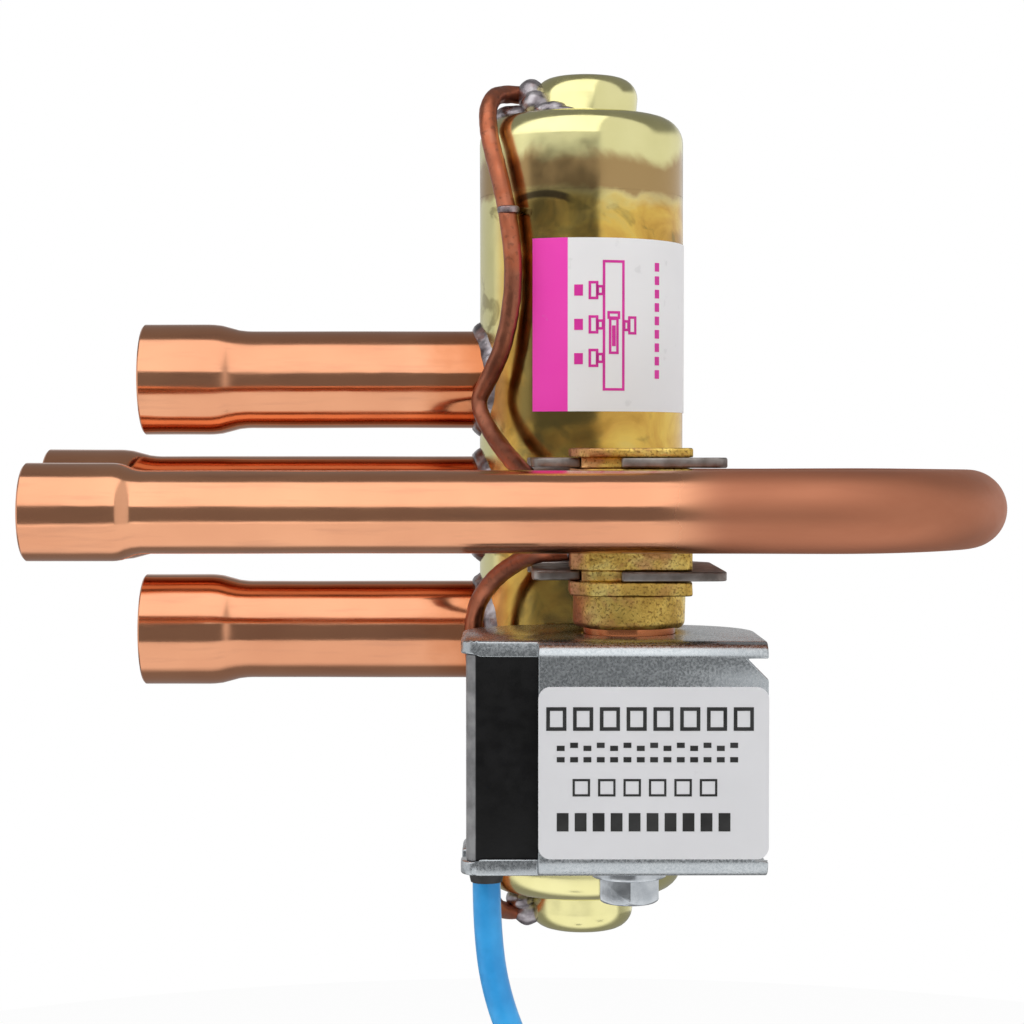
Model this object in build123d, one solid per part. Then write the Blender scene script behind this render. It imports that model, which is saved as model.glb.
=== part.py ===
from build123d import *

import os
from math import cos, pi, radians, sin, tan

# Four way reversing valve for a small heat pump, in millimetres, +Z up.
#
# Everything is drawn about the main body's axis, with the suction port's axis at height zero and
# the pilot valve and its coil in front, towards -Y.  The files are written with the origin at the
# centre of the suction socket's mouth, so the body's axis stands at x = SUCTION_REACH.

# Main body and its end caps
BODY_OD = 26.6
BODY_WALL = 1.5
BODY_HALF = 42.0  # from the suction port's axis to either end of the tube
LAP = 2.0  # the cap's skirt over the tube's rebated end
CAP_HEIGHT = 8.4
CAP_SHOULDER = 3.2
BOSS_OD = 13.2
BOSS_HEIGHT = 5.7
BOSS_ROUND = 2.0
CAP_WALL = 1.5

# The three ports on the left, for half inch tube
PORT_PITCH = 16.4
PORT_OD = 12.7
PORT_WALL = 0.8
PORT_BORE = 12.86
PORT_SOCKET = 11.4
PORT_FLARE = 2.8
SIDE_REACH = 57.4  # from the body's axis to the two outer sockets' mouths
SUCTION_REACH = 70.0
SUCTION_SOCKET = 12.2
PORT_DEPTH = 9.5  # how near the body's axis the tubes' inner ends come

# The discharge tube, for three eighths tube, bent round to the front
DISCHARGE_OD = 9.52
DISCHARGE_WALL = 0.8
DISCHARGE_BORE = 9.62
DISCHARGE_SOCKET = 10.4
DISCHARGE_FLARE = 3.2
DISCHARGE_REACH = 64.6
BEND_RADIUS = 20.0
BEND_X = 26.4
FLARE_ROUND = 2.0

# Brazed joints
BRAZE_WIDTH = 1.15
BRAZE_HEIGHT = 0.9
BRAZE_FIT = 0.04  # the gap that the filler draws into

# Valve seat, slide and shuttle
SEAT_FACE = 5.0  # from the body's axis to the flat face
SEAT_HALF = 24.6
SEAT_PORT = 8.8
SLIDE_GAP = 0.05
SLIDE_BASE = 1.6
SLIDE_WALL = 1.2
SLIDE_LAND = 1.6
SLIDE_DEPTH = 9.4  # from the seat to the top of the dome
CARRIER_SHEET = 1.2
CARRIER_WIDTH = 14.6
CARRIER_FIT = 0.25
PISTON_DISC = 1.4
PISTON_SEAL = 2.6
PISTON_DISC_OD = 21.2
SEAL_FIT = 0.06
PISTON_STOP = 0.3
SCREW_HEAD_OD = 6.0
SCREW_HEAD = 1.6
SCREW_OD = 3.0
SHUTTLE_TRAVEL = PORT_PITCH

# Pilot valve
PILOT_X = 4.9
PILOT_Y = -27.3
PILOT_WIDTH = 14.3
PILOT_DEPTH = 13.6
PILOT_TOP = 7.3
PILOT_STEP = -10.0
PILOT_BOTTOM = -14.0
PILOT_CHAMFER = 2.2
PILOT_ROUND_OD = 13.4
PILOT_ROOF = 2.8
GROOVE = 1.3
UPPER_FLANGE_Z = 5.6
LOWER_FLANGE_Z = -7.7
SLEEVE_OD = 11.0
SLEEVE_WALL = 0.5
SLEEVE_FIT = 0.04
PLUNGER_FIT = 0.08
PLUNGER_STROKE = 2.5
PLUNGER_TOP = -12.6
PLUNGER_BOTTOM = -26.0
STOP_GAP = 0.3
SPRING_OD = 4.6
SPRING_WIRE = 0.5
SPRING_TURNS = 5
SPRING_POCKET = 4.0
CORE_POCKET = 1.5
PILOT_SEAT_FACE = 1.0  # from the pilot's axis to the pilot seat's flat face
PILOT_PORTS = (2.4, -1.5, -5.0)  # heights of the three holes in the left side
PILOT_PORT_BORE = 1.3

# Bracket between the body and the pilot valve
BRACKET_SHEET = 1.15
BRACKET_SWEEP_LEFT = 30.0
BRACKET_SWEEP_RIGHT = 50.0
BRACKET_LEFT = -6.7
BRACKET_RIGHT = 16.1
BRACKET_FRONT = -34.5
BRACKET_MOUTH_X = 3.7
BRACKET_FIT = 0.1

# Coil
COIL_TOP = -14.8
COIL_BOTTOM = -41.8
FRAME_SHEET = 1.55
FRAME_LEFT = -15.0
FRAME_RIGHT = 20.2
FRAME_FRONT = -40.9
FRAME_REAR = -13.9
FRAME_BEND = 1.9
FRAME_REAR_ROUND = 11.0
PLATE_LEFT = -6.1
PLATE_CORNER_TOP = 2.4
PLATE_CORNER_BOTTOM = 1.7
RESIN_LEFT = -14.4
RESIN_ROUND = 11.9
RESIN_CHAMFER = 1.2
COIL_FIT = 0.05
RESIN_FIT = 0.2
BOBBIN_FIT = 0.15
BOBBIN_WALL = 0.9
BOBBIN_FLANGE_OD = 20.6
WINDING_OD = 19.6
BOLT_OD = 4.0
BOLT_REACH = 8.0
BOLT_ACROSS_FLATS = 7.0
BOLT_HEAD = 3.1
SPRING_WASHER_OD = 7.4
SPRING_WASHER = 1.3
FLAT_WASHER_OD = 9.0
FLAT_WASHER = 0.9
BOLT_HOLE = 4.4

# Labels
LABEL_SHEET = 0.12
BODY_LABEL_TOP = 33.8
BODY_LABEL_BOTTOM = 12.0
BODY_LABEL_FROM = -29.0  # degrees round from the front, to the left
BODY_LABEL_TO = 96.0
COIL_LABEL_TOP = -19.9
COIL_LABEL_BOTTOM = -39.6
COIL_LABEL_ROUND = 1.4

# Capillaries
CAPILLARY_OD = 2.2
CAPILLARY_BORE = 1.2
CAPILLARY_SEAT = 1.3  # how far an end goes into what it is brazed to
CAPILLARY_BEND = 9.0
FILLET_BRAZE = 0.9
BOSS_PORT_Z = 53.6
CAPILLARY_X = -5.4  # where the three left capillaries turn towards the pilot
SUCTION_TAP_X = -19.0
DISCHARGE_TAP_X = 17.4

# Lead
LEAD_OD = 3.3
LEAD_X = -12.1
LEAD_Y = -33.0
GROMMET_OD = 4.8
GROMMET_BELOW = 0.6
NOTCH_FIT = 0.2
RING_RADIUS = 18.0  # to the middle of the bundle
RING_TURNS_WIDE = 3
RING_TURNS_DEEP = 2
RING_PITCH = 3.4
RING_TOP = -64.0
RING_CORNER = 1.5
STUB = 12.4  # straight ends of the coiled bundle above and below its middle
TIE_SHEET = 0.8
TIE_HALF_ANGLE = 6.0
TAIL = 7.0
PLUG_WIDTH = 9.0
PLUG_DEPTH = 6.0
PLUG_LENGTH = 14.0

BODY_R = BODY_OD / 2
BORE_R = BODY_R - BODY_WALL
SHOULDER_Z = BODY_HALF + CAP_HEIGHT
END_Z = SHOULDER_Z + BOSS_HEIGHT
PORT_HEIGHTS = {"evaporator": PORT_PITCH, "suction": 0.0, "condenser": -PORT_PITCH}
FRONT_RUN_Y = -2 * BEND_RADIUS
PILOT = Pos(PILOT_X, PILOT_Y, 0)
PILOT_LEFT = PILOT_X - PILOT_WIDTH / 2
PILOT_RIGHT = PILOT_X + PILOT_WIDTH / 2
CORE_BOTTOM = COIL_BOTTOM + FRAME_SHEET
CORE_TOP = PLUNGER_BOTTOM - PLUNGER_STROKE - STOP_GAP
SHUTTLE_REST = -SHUTTLE_TRAVEL / 2
PLATE_INNER = FRAME_FRONT + FRAME_SHEET
RING_WIDTH = RING_TURNS_WIDE * RING_PITCH
RING_DEPTH = RING_TURNS_DEEP * RING_PITCH
RING_OUTER = RING_RADIUS + RING_WIDTH / 2
RING_Z = RING_TOP - RING_OUTER
LEAD_ENTRY_X = -5.4
RING_X = LEAD_ENTRY_X + RING_OUTER - RING_PITCH / 2


# ---------------------------------------------------------------- drawing helpers


def outline(*corners):
    """A closed face from corners given as (u, v) or (u, v, corner radius)."""
    points = [corner[:2] for corner in corners]
    radii = [corner[2] if len(corner) > 2 else 0 for corner in corners]
    return make_face(FilletPolyline(*points, radius=radii, close=True))


def turned(*corners):
    """A solid turned about Z from corners given as (radius, height[, corner radius])."""
    return revolve(Plane.XZ * outline(*corners), Axis.Z)


def post(diameter, low, high):
    """An upright cylinder about Z between two heights."""
    return Pos(0, 0, (low + high) / 2) * Cylinder(diameter / 2, high - low)


def bar(diameter, left, right, y=0.0, z=0.0):
    """A cylinder along X between two places."""
    turn = Rot(0, 90, 0)
    return Pos((left + right) / 2, y, z) * turn * Cylinder(diameter / 2, right - left)


def block(left, right, front, rear, low, high):
    """A box between two places along each axis."""
    middle = Pos((left + right) / 2, (front + rear) / 2, (low + high) / 2)
    return middle * Box(right - left, rear - front, high - low)


def slab(face, low, high):
    """A plan outline made solid between two heights."""
    return Pos(0, 0, low) * extrude(face, high - low)


def along_x(face, left, right):
    """A face across X made solid between two places."""
    return extrude(Pos(left, 0, 0) * face, right - left, dir=(1, 0, 0))


def towards_front(face, rear, thickness):
    """An outline of (x, z) corners made solid from one place towards -Y."""
    return extrude(Pos(0, rear, 0) * (Plane.XZ * face), thickness, dir=(0, -1, 0))


def bend_radii(points, largest):
    """One radius for each corner of a route, as large as its two runs leave room for."""
    radii = []
    for before, here, after in zip(points, points[1:], points[2:]):
        arriving = Vector(*here) - Vector(*before)
        leaving = Vector(*after) - Vector(*here)
        half_turn = radians(arriving.get_angle(leaving)) / 2
        shorter = min(arriving.length, leaving.length)
        radii.append(min(largest, 0.45 * shorter / tan(half_turn)))
    return radii


def route(points, largest=1000.0):
    """Straight runs joined by tangent arcs through hand-placed points."""
    return FilletPolyline(*points, radius=bend_radii(points, largest))


def tube_along(path, diameter, bore=0.0):
    """A round tube, or a rod where it has no bore, swept along a route."""
    start = Plane(origin=path @ 0, z_dir=path % 0)
    section = Circle(diameter / 2)
    if bore:
        section = section - Circle(bore / 2)
    return sweep(start * section, path=path)


# ---------------------------------------------------------------- main body


def make_valve_body():
    """The drawn brass tube: rebated at both ends, pierced for the ports and the end joints."""
    lap_r = BODY_R - BODY_WALL / 2 - BRAZE_FIT
    tube = turned(
        (BORE_R, -BODY_HALF),
        (lap_r, -BODY_HALF),
        (lap_r, -BODY_HALF + LAP),
        (BODY_R, -BODY_HALF + LAP),
        (BODY_R, BODY_HALF - LAP),
        (lap_r, BODY_HALF - LAP),
        (lap_r, BODY_HALF),
        (BORE_R, BODY_HALF),
    )
    for height in PORT_HEIGHTS.values():
        tube -= bar(PORT_OD + 2 * BRAZE_FIT, -BODY_OD, 0, z=height)
    tube -= bar(DISCHARGE_OD + 2 * BRAZE_FIT, 0, BODY_OD)
    return tube


def make_end_cap():
    """The upper end cap: a drawn cup with a hollow boss, and a hole for its capillary."""
    lap_r = BODY_R - BODY_WALL / 2
    boss_r = BOSS_OD / 2
    roof = SHOULDER_Z - CAP_WALL
    cap = turned(
        (0, END_Z),
        (boss_r, END_Z, BOSS_ROUND),
        (boss_r, SHOULDER_Z, 0.5),
        (BODY_R, SHOULDER_Z, CAP_SHOULDER),
        (BODY_R, BODY_HALF - LAP),
        (lap_r, BODY_HALF - LAP),
        (lap_r, BODY_HALF),
        (BORE_R, BODY_HALF),
        (BORE_R, roof, CAP_SHOULDER - CAP_WALL),
        (boss_r - CAP_WALL, roof),
        (boss_r - CAP_WALL, END_Z - CAP_WALL, 0.8),
        (0, END_Z - CAP_WALL),
    )
    return cap - bar(CAPILLARY_OD + 2 * BRAZE_FIT, -BOSS_OD, 0, z=BOSS_PORT_Z)


def make_valve_seat():
    """The brazed-in brass seat, with a counterbore for each port tube and a smaller way through."""
    seat = post(2 * (BORE_R - BRAZE_FIT), -SEAT_HALF, SEAT_HALF)
    seat &= block(-BODY_OD, -SEAT_FACE, -BODY_OD, BODY_OD, -SEAT_HALF, SEAT_HALF)
    for height in PORT_HEIGHTS.values():
        seat -= bar(PORT_OD + 2 * BRAZE_FIT, -BODY_OD, -PORT_DEPTH, z=height)
        seat -= bar(SEAT_PORT, -BODY_OD, 0, z=height)
    return seat


def swaged_tube(root, mouth, outer, wall, bore, socket, flare):
    """A copper tube along X whose mouth, on the left, is swaged out to take a tube of its own size."""
    outer_r = outer / 2
    socket_r = bore / 2
    neck = mouth + socket
    profile = outline(
        (root, outer_r),
        (neck + flare, outer_r, FLARE_ROUND),
        (neck, socket_r + wall, FLARE_ROUND),
        (mouth, socket_r + wall, 0.25),
        (mouth, socket_r),
        (neck, socket_r, FLARE_ROUND),
        (neck + flare, outer_r - wall, FLARE_ROUND),
        (root, outer_r - wall),
    )
    return revolve(profile, Axis.X)


def make_port_tube(reach, socket, height):
    """One of the three left tubes, brazed through the body into the seat's counterbore."""
    tube = swaged_tube(-PORT_DEPTH - BRAZE_FIT, -reach, PORT_OD, PORT_WALL, PORT_BORE, socket, PORT_FLARE)
    return Pos(0, 0, height) * tube


def make_suction_tube():
    """The middle tube, with the tap for the pilot's suction capillary in its front."""
    tube = make_port_tube(SUCTION_REACH, SUCTION_SOCKET, 0)
    tap = Rot(90, 0, 0) * Cylinder(CAPILLARY_OD / 2 + BRAZE_FIT, PORT_OD)
    return tube - Pos(SUCTION_TAP_X, -PORT_OD / 2, 0) * tap


def make_discharge_tube():
    """Out of the body on the right, half round to the front and back to the left in a long run."""
    outer_r = DISCHARGE_OD / 2
    bore_r = outer_r - DISCHARGE_WALL
    root = BORE_R
    leg = bar(DISCHARGE_OD, root, BEND_X) - bar(2 * bore_r, root, BEND_X)
    ring = Plane.YZ * (Circle(outer_r) - Circle(bore_r))
    turn_axis = Axis((BEND_X, -BEND_RADIUS, 0), (0, 0, -1))
    bend = revolve(Pos(BEND_X, 0, 0) * ring, turn_axis, 180)
    run = swaged_tube(
        BEND_X,
        -DISCHARGE_REACH,
        DISCHARGE_OD,
        DISCHARGE_WALL,
        DISCHARGE_BORE,
        DISCHARGE_SOCKET,
        DISCHARGE_FLARE,
    )
    tube = leg + bend + Pos(0, FRONT_RUN_Y, 0) * run
    tap = Rot(90, 0, 0) * Cylinder(CAPILLARY_OD / 2 + BRAZE_FIT, DISCHARGE_OD)
    return tube - Pos(DISCHARGE_TAP_X, FRONT_RUN_Y + outer_r, 0) * tap


def make_saddle(diameter, side, height):
    """The filler round a tube where it enters the body: a collar that follows the body's curve."""
    skin = post(BODY_OD + 2 * BRAZE_HEIGHT, height - BODY_R, height + BODY_R)
    skin -= post(BODY_OD, height - BODY_R, height + BODY_R)
    left, right = (-BODY_OD, 0) if side < 0 else (0, BODY_OD)
    ring = bar(diameter + 2 * BRAZE_WIDTH, left, right, z=height)
    ring -= bar(diameter, left, right, z=height)
    return skin & ring


# ---------------------------------------------------------------- shuttle


def stadium(half_length, half_width):
    """A slot-shaped face, long along Z, in the plane across X."""
    return Plane.YZ * (Rot(0, 0, 90) * SlotOverall(2 * half_length, 2 * half_width))


DOME_HALF = PORT_PITCH / 2 + SEAT_PORT / 2 + SLIDE_WALL
DOME_HALF_WIDTH = SEAT_PORT / 2 + SLIDE_WALL
SLIDE_FOOT = -SEAT_FACE + SLIDE_GAP
SLIDE_TOP = SLIDE_FOOT + SLIDE_DEPTH
CARRIER_FOOT = SLIDE_FOOT + SLIDE_BASE
PISTON_FACE = SHOULDER_Z - CAP_WALL - PISTON_STOP + SHUTTLE_REST
SEAL_FACE = PISTON_FACE - PISTON_DISC
INNER_DISC_FACE = SEAL_FACE - PISTON_SEAL
TAB_FACE = INNER_DISC_FACE - PISTON_DISC


def make_main_slide():
    """The moulded slide: a flat base with a hollow dome that joins two neighbouring ports."""
    base_half = DOME_HALF + SLIDE_LAND
    base_width = 2 * (DOME_HALF_WIDTH + SLIDE_LAND)
    base = block(SLIDE_FOOT, CARRIER_FOOT, -base_width / 2, base_width / 2, -base_half, base_half)
    dome = along_x(stadium(DOME_HALF, DOME_HALF_WIDTH), SLIDE_FOOT, SLIDE_TOP)
    hollow = along_x(
        stadium(DOME_HALF - SLIDE_WALL, DOME_HALF_WIDTH - SLIDE_WALL),
        SLIDE_FOOT,
        SLIDE_TOP - SLIDE_WALL,
    )
    crown = dome.edges().filter_by_position(Axis.X, SLIDE_TOP - 0.01, SLIDE_TOP + 0.01)
    slide = base + fillet(crown, SLIDE_WALL) - hollow
    return Pos(0, 0, SHUTTLE_REST) * slide


def make_slide_carrier():
    """The folded steel strip that joins the pistons and drags the slide along by its dome."""
    half_width = CARRIER_WIDTH / 2
    top = CARRIER_FOOT + CARRIER_SHEET
    strip = block(CARRIER_FOOT, top, -half_width, half_width, -TAB_FACE, TAB_FACE)
    strip -= along_x(
        stadium(DOME_HALF + CARRIER_FIT, DOME_HALF_WIDTH + CARRIER_FIT),
        CARRIER_FOOT,
        top,
    )
    tab_half = half_width - 1.0
    tab_top = SCREW_HEAD_OD
    for side in (-1, 1):
        low, high = sorted((side * TAB_FACE, side * (TAB_FACE - CARRIER_SHEET)))
        tab = block(CARRIER_FOOT, tab_top, -tab_half, tab_half, low, high)
        strip += tab - post(SCREW_OD + 2 * BRAZE_FIT, low, high)
    return Pos(0, 0, SHUTTLE_REST) * strip


def make_piston(side):
    """A pair of steel discs that clamp the seal, with a hole for the screw."""
    discs = post(PISTON_DISC_OD, SEAL_FACE, PISTON_FACE)
    discs += post(PISTON_DISC_OD, TAB_FACE, INNER_DISC_FACE)
    hub = post(SCREW_HEAD_OD, INNER_DISC_FACE, SEAL_FACE)
    piston = discs + hub - post(SCREW_OD + 2 * BRAZE_FIT, TAB_FACE, PISTON_FACE)
    return Pos(0, 0, SHUTTLE_REST) * (piston if side > 0 else mirror(piston, Plane.XY))


def make_piston_seal(side):
    """The cup seal between a piston's discs, with its lip against the bore."""
    lip_r = BORE_R - SEAL_FIT
    hub_r = SCREW_HEAD_OD / 2 + BRAZE_FIT
    floor = INNER_DISC_FACE + 1.0
    seal = turned(
        (hub_r, INNER_DISC_FACE),
        (lip_r, INNER_DISC_FACE, 0.6),
        (lip_r, SEAL_FACE),
        (lip_r - 0.6, SEAL_FACE),
        (lip_r - 1.0, floor),
        (hub_r, floor),
    )
    return Pos(0, 0, SHUTTLE_REST) * (seal if side > 0 else mirror(seal, Plane.XY))


def make_piston_screws():
    """The two screws that hold the pistons to the carrier's tabs."""
    screw = post(SCREW_HEAD_OD, PISTON_FACE, PISTON_FACE + SCREW_HEAD)
    screw += post(SCREW_OD, TAB_FACE - CARRIER_SHEET, PISTON_FACE)
    screw -= Pos(0, 0, PISTON_FACE + SCREW_HEAD) * Box(SCREW_HEAD_OD, 0.8, 1.2)
    pair = [screw, mirror(screw, Plane.XY)]
    return Pos(0, 0, SHUTTLE_REST) * Compound(pair)


# ---------------------------------------------------------------- pilot valve


CHAMBER_R = SLEEVE_OD / 2 - SLEEVE_WALL
CHAMBER_TOP = PILOT_TOP - PILOT_ROOF


def groove_ring(z):
    """What the cutter takes out all round the pilot's block for one flange of the bracket."""
    whole = Box(2 * PILOT_WIDTH, 2 * PILOT_DEPTH, BRACKET_SHEET + 2 * BRACKET_FIT)
    neck = Box(PILOT_WIDTH - 2 * GROOVE, PILOT_DEPTH - 2 * GROOVE, 2 * BRACKET_SHEET)
    return Pos(0, 0, z) * (whole - neck)


def make_pilot_body():
    """The brass block: square above, round below, bored from underneath for the plunger's tube."""
    height = PILOT_TOP - PILOT_STEP
    square = Pos(0, 0, (PILOT_TOP + PILOT_STEP) / 2) * Box(PILOT_WIDTH, PILOT_DEPTH, height)
    uprights = square.edges().filter_by(Axis.Z)
    square = chamfer(uprights.sort_by(Axis.X)[:2], PILOT_CHAMFER)
    square = chamfer(square.edges().filter_by(Axis.Z).sort_by(Axis.X)[-2:], 0.5)
    body = square + post(PILOT_ROUND_OD, PILOT_BOTTOM, PILOT_STEP)
    rim = body.edges().filter_by(GeomType.CIRCLE).sort_by(Axis.Z)[0]
    body = chamfer(rim, 0.5)
    body -= groove_ring(UPPER_FLANGE_Z) + groove_ring(LOWER_FLANGE_Z)
    body -= post(2 * CHAMBER_R, PILOT_BOTTOM, CHAMBER_TOP)
    body -= post(SLEEVE_OD + 2 * SLEEVE_FIT, PILOT_BOTTOM, PILOT_STEP)
    for height in PILOT_PORTS:
        body -= bar(CAPILLARY_OD + 2 * BRAZE_FIT, -PILOT_WIDTH, -PILOT_WIDTH / 2 + CAPILLARY_SEAT, z=height)
        body -= bar(PILOT_PORT_BORE, -PILOT_WIDTH, 0, z=height)
    middle = PILOT_PORTS[1]
    body -= bar(CAPILLARY_OD + 2 * BRAZE_FIT, PILOT_WIDTH / 2 - CAPILLARY_SEAT, PILOT_WIDTH, z=middle)
    body -= bar(PILOT_PORT_BORE, 0, PILOT_WIDTH, z=middle)
    return PILOT * body


def make_pilot_seat():
    """The small seat in the pilot's chamber, pierced by the three left ports."""
    low, high = PILOT_PORTS[2] - 2.2, PILOT_PORTS[0] + 1.8
    seat = post(2 * (CHAMBER_R - BRAZE_FIT), low, high)
    seat &= block(-CHAMBER_R, -PILOT_SEAT_FACE, -CHAMBER_R, CHAMBER_R, low, high)
    for height in PILOT_PORTS:
        seat -= bar(PILOT_PORT_BORE, -CHAMBER_R, 0, z=height)
    return PILOT * seat


def make_pilot_slide():
    """The small moulded slide that the plunger's arm drags over the pilot seat."""
    foot = -PILOT_SEAT_FACE + SLIDE_GAP
    low = PILOT_PORTS[2] - 1.1
    high = PILOT_PORTS[1] + 1.1
    slide = block(foot, foot + 2.4, -1.8, 1.8, low, high)
    slide -= block(foot, foot + 1.2, -0.9, 0.9, low + 0.6, high - 0.6)
    return PILOT * slide


def make_plunger():
    """The steel plunger in its tube, with the flat arm that carries the pilot slide."""
    foot = -PILOT_SEAT_FACE + SLIDE_GAP + 2.4 - 0.8
    low = PILOT_PORTS[2] - 1.1
    high = PILOT_PORTS[1] + 1.1
    plunger = post(2 * (CHAMBER_R - PLUNGER_FIT), PLUNGER_BOTTOM, PLUNGER_TOP)
    plunger -= post(SPRING_OD + 0.4, PLUNGER_BOTTOM, PLUNGER_BOTTOM + SPRING_POCKET)
    arm_top = CHAMBER_TOP - STOP_GAP
    arm = block(foot, foot + 1.0, -2.6, 2.6, PLUNGER_TOP, arm_top)
    arm -= block(foot, foot + 1.0, -1.9, 1.9, low - 0.1, high + 0.1)
    return PILOT * (plunger + arm)


def make_plunger_spring():
    """The return spring: a true helix of round wire between the core and the plunger."""
    low = CORE_TOP - CORE_POCKET + SPRING_WIRE / 2
    high = PLUNGER_BOTTOM + SPRING_POCKET - SPRING_WIRE / 2
    radius = (SPRING_OD - SPRING_WIRE) / 2
    coil = Helix((high - low) / SPRING_TURNS, high - low, radius)
    section = Plane(origin=coil @ 0, z_dir=coil % 0) * Circle(SPRING_WIRE / 2)
    return PILOT * Pos(0, 0, low) * sweep(section, path=coil, is_frenet=True)


def make_pilot_sleeve():
    """The thin tube that the plunger runs in, brazed into the block and closed by the core."""
    return PILOT * (post(SLEEVE_OD, CORE_BOTTOM, PILOT_STEP) - post(2 * CHAMBER_R, CORE_BOTTOM, PILOT_STEP))


def make_fixed_core():
    """The steel core that closes the tube, tapped from below for the coil's bolt."""
    core = post(2 * (CHAMBER_R - SLEEVE_FIT), CORE_BOTTOM, CORE_TOP)
    core -= post(SPRING_OD + 0.4, CORE_TOP - CORE_POCKET, CORE_TOP)
    return PILOT * (core - post(BOLT_OD + 2 * BRAZE_FIT, CORE_BOTTOM, CORE_BOTTOM + BOLT_REACH + 1))


def make_pilot_bracket():
    """The steel bracket: a saddle round the body and two forked flanges into the block's grooves."""
    low = LOWER_FLANGE_Z - BRACKET_SHEET / 2
    high = UPPER_FLANGE_Z + BRACKET_SHEET / 2
    inner = BODY_R + BRAZE_FIT
    outer = inner + BRACKET_SHEET
    front = -90
    sector = Pie(outer, front - BRACKET_SWEEP_LEFT, front + BRACKET_SWEEP_RIGHT)
    saddle = slab(sector, low, high) - post(2 * inner, low, high)
    plan = outline(
        (BRACKET_LEFT, -8.0),
        (BRACKET_LEFT, -31.0, 1.5),
        (BRACKET_MOUTH_X, -31.0),
        (BRACKET_MOUTH_X, BRACKET_FRONT, 0.4),
        (BRACKET_RIGHT, BRACKET_FRONT, 1.5),
        (BRACKET_RIGHT, -10.0, 1.5),
        (BRACKET_RIGHT - 5, -4.0),
    )
    neck_x = PILOT_WIDTH - 2 * GROOVE + 2 * BRACKET_FIT
    neck_y = PILOT_DEPTH - 2 * GROOVE + 2 * BRACKET_FIT
    bracket = saddle
    for z in (LOWER_FLANGE_Z, UPPER_FLANGE_Z):
        flange = slab(plan, z - BRACKET_SHEET / 2, z + BRACKET_SHEET / 2)
        flange -= PILOT * Pos(0, 0, z) * Box(neck_x, neck_y, 2 * BRACKET_SHEET)
        open_side = block(BRACKET_MOUTH_X - 4, BRACKET_MOUTH_X, -36.0, PILOT_Y, z - 1, z + 1)
        bracket += flange - open_side - post(2 * inner, z - 1, z + 1)
    return bracket


def Pie(radius, start, end):
    """A sector of a disc between two angles, in degrees."""
    return make_face(
        Curve()
        + [
            Line((0, 0), (radius * cos(radians(start)), radius * sin(radians(start)))),
            CenterArc((0, 0), radius, start, end - start),
            Line((radius * cos(radians(end)), radius * sin(radians(end))), (0, 0)),
        ]
    )


# ---------------------------------------------------------------- coil


def make_coil_frame():
    """The zinc plated steel channel: two flanges joined by the front plate's rounded bends."""
    channel = outline(
        (FRAME_REAR, COIL_TOP),
        (FRAME_FRONT, COIL_TOP, FRAME_BEND),
        (FRAME_FRONT, COIL_BOTTOM, FRAME_BEND),
        (FRAME_REAR, COIL_BOTTOM),
        (FRAME_REAR, COIL_BOTTOM + FRAME_SHEET),
        (PLATE_INNER, COIL_BOTTOM + FRAME_SHEET, FRAME_BEND - FRAME_SHEET),
        (PLATE_INNER, COIL_TOP - FRAME_SHEET, FRAME_BEND - FRAME_SHEET),
        (FRAME_REAR, COIL_TOP - FRAME_SHEET),
    )
    frame = along_x(Plane.YZ * channel, FRAME_LEFT, FRAME_RIGHT)
    plan = outline(
        (FRAME_LEFT, PLATE_INNER, 2.2),
        (FRAME_LEFT, FRAME_REAR, FRAME_REAR_ROUND),
        (FRAME_RIGHT, FRAME_REAR, FRAME_REAR_ROUND),
        (FRAME_RIGHT, FRAME_FRONT),
        (PLATE_LEFT, FRAME_FRONT),
        (PLATE_LEFT, PLATE_INNER),
    )
    frame &= slab(plan, COIL_BOTTOM, COIL_TOP)
    corners = (
        (COIL_TOP - FRAME_BEND, -1, PLATE_CORNER_TOP),
        (COIL_BOTTOM + FRAME_BEND, 1, PLATE_CORNER_BOTTOM),
    )
    for edge, inward, size in corners:
        corner = outline(
            (FRAME_RIGHT + 1, edge),
            (FRAME_RIGHT - size, edge),
            (FRAME_RIGHT + 1, edge + inward * (size + 1)),
        )
        frame -= towards_front(corner, PLATE_INNER, 2 * FRAME_SHEET)
    frame -= PILOT * post(SLEEVE_OD + 2 * BOBBIN_FIT, COIL_TOP - 2 * FRAME_SHEET, COIL_TOP)
    frame -= PILOT * post(BOLT_HOLE, COIL_BOTTOM, COIL_BOTTOM + 2 * FRAME_SHEET)
    notch = GROMMET_OD / 2 + NOTCH_FIT
    frame -= Pos(LEAD_X, LEAD_Y, COIL_BOTTOM) * Cylinder(notch, 3 * FRAME_SHEET)
    frame -= block(FRAME_LEFT, LEAD_X, LEAD_Y - notch, LEAD_Y + notch, COIL_BOTTOM, COIL_BOTTOM + FRAME_SHEET)
    return frame


def make_coil_resin():
    """The moulding round the winding: square on the lead's side, round on the other."""
    low = COIL_BOTTOM + FRAME_SHEET + COIL_FIT
    high = COIL_TOP - FRAME_SHEET - COIL_FIT
    front = PLATE_INNER + RESIN_FIT
    rear = PILOT_Y + RESIN_ROUND
    plan = outline(
        (RESIN_LEFT, front, RESIN_CHAMFER),
        (RESIN_LEFT, rear, RESIN_CHAMFER),
        (PILOT_X + RESIN_ROUND, rear, RESIN_ROUND - 0.6),
        (PILOT_X + RESIN_ROUND, front, RESIN_ROUND - 0.6),
    )
    resin = slab(plan, low, high)
    return resin - PILOT * post(BOBBIN_FLANGE_OD + 2 * COIL_FIT, low, high)


BOBBIN_BORE = SLEEVE_OD + 2 * BOBBIN_FIT


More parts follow.
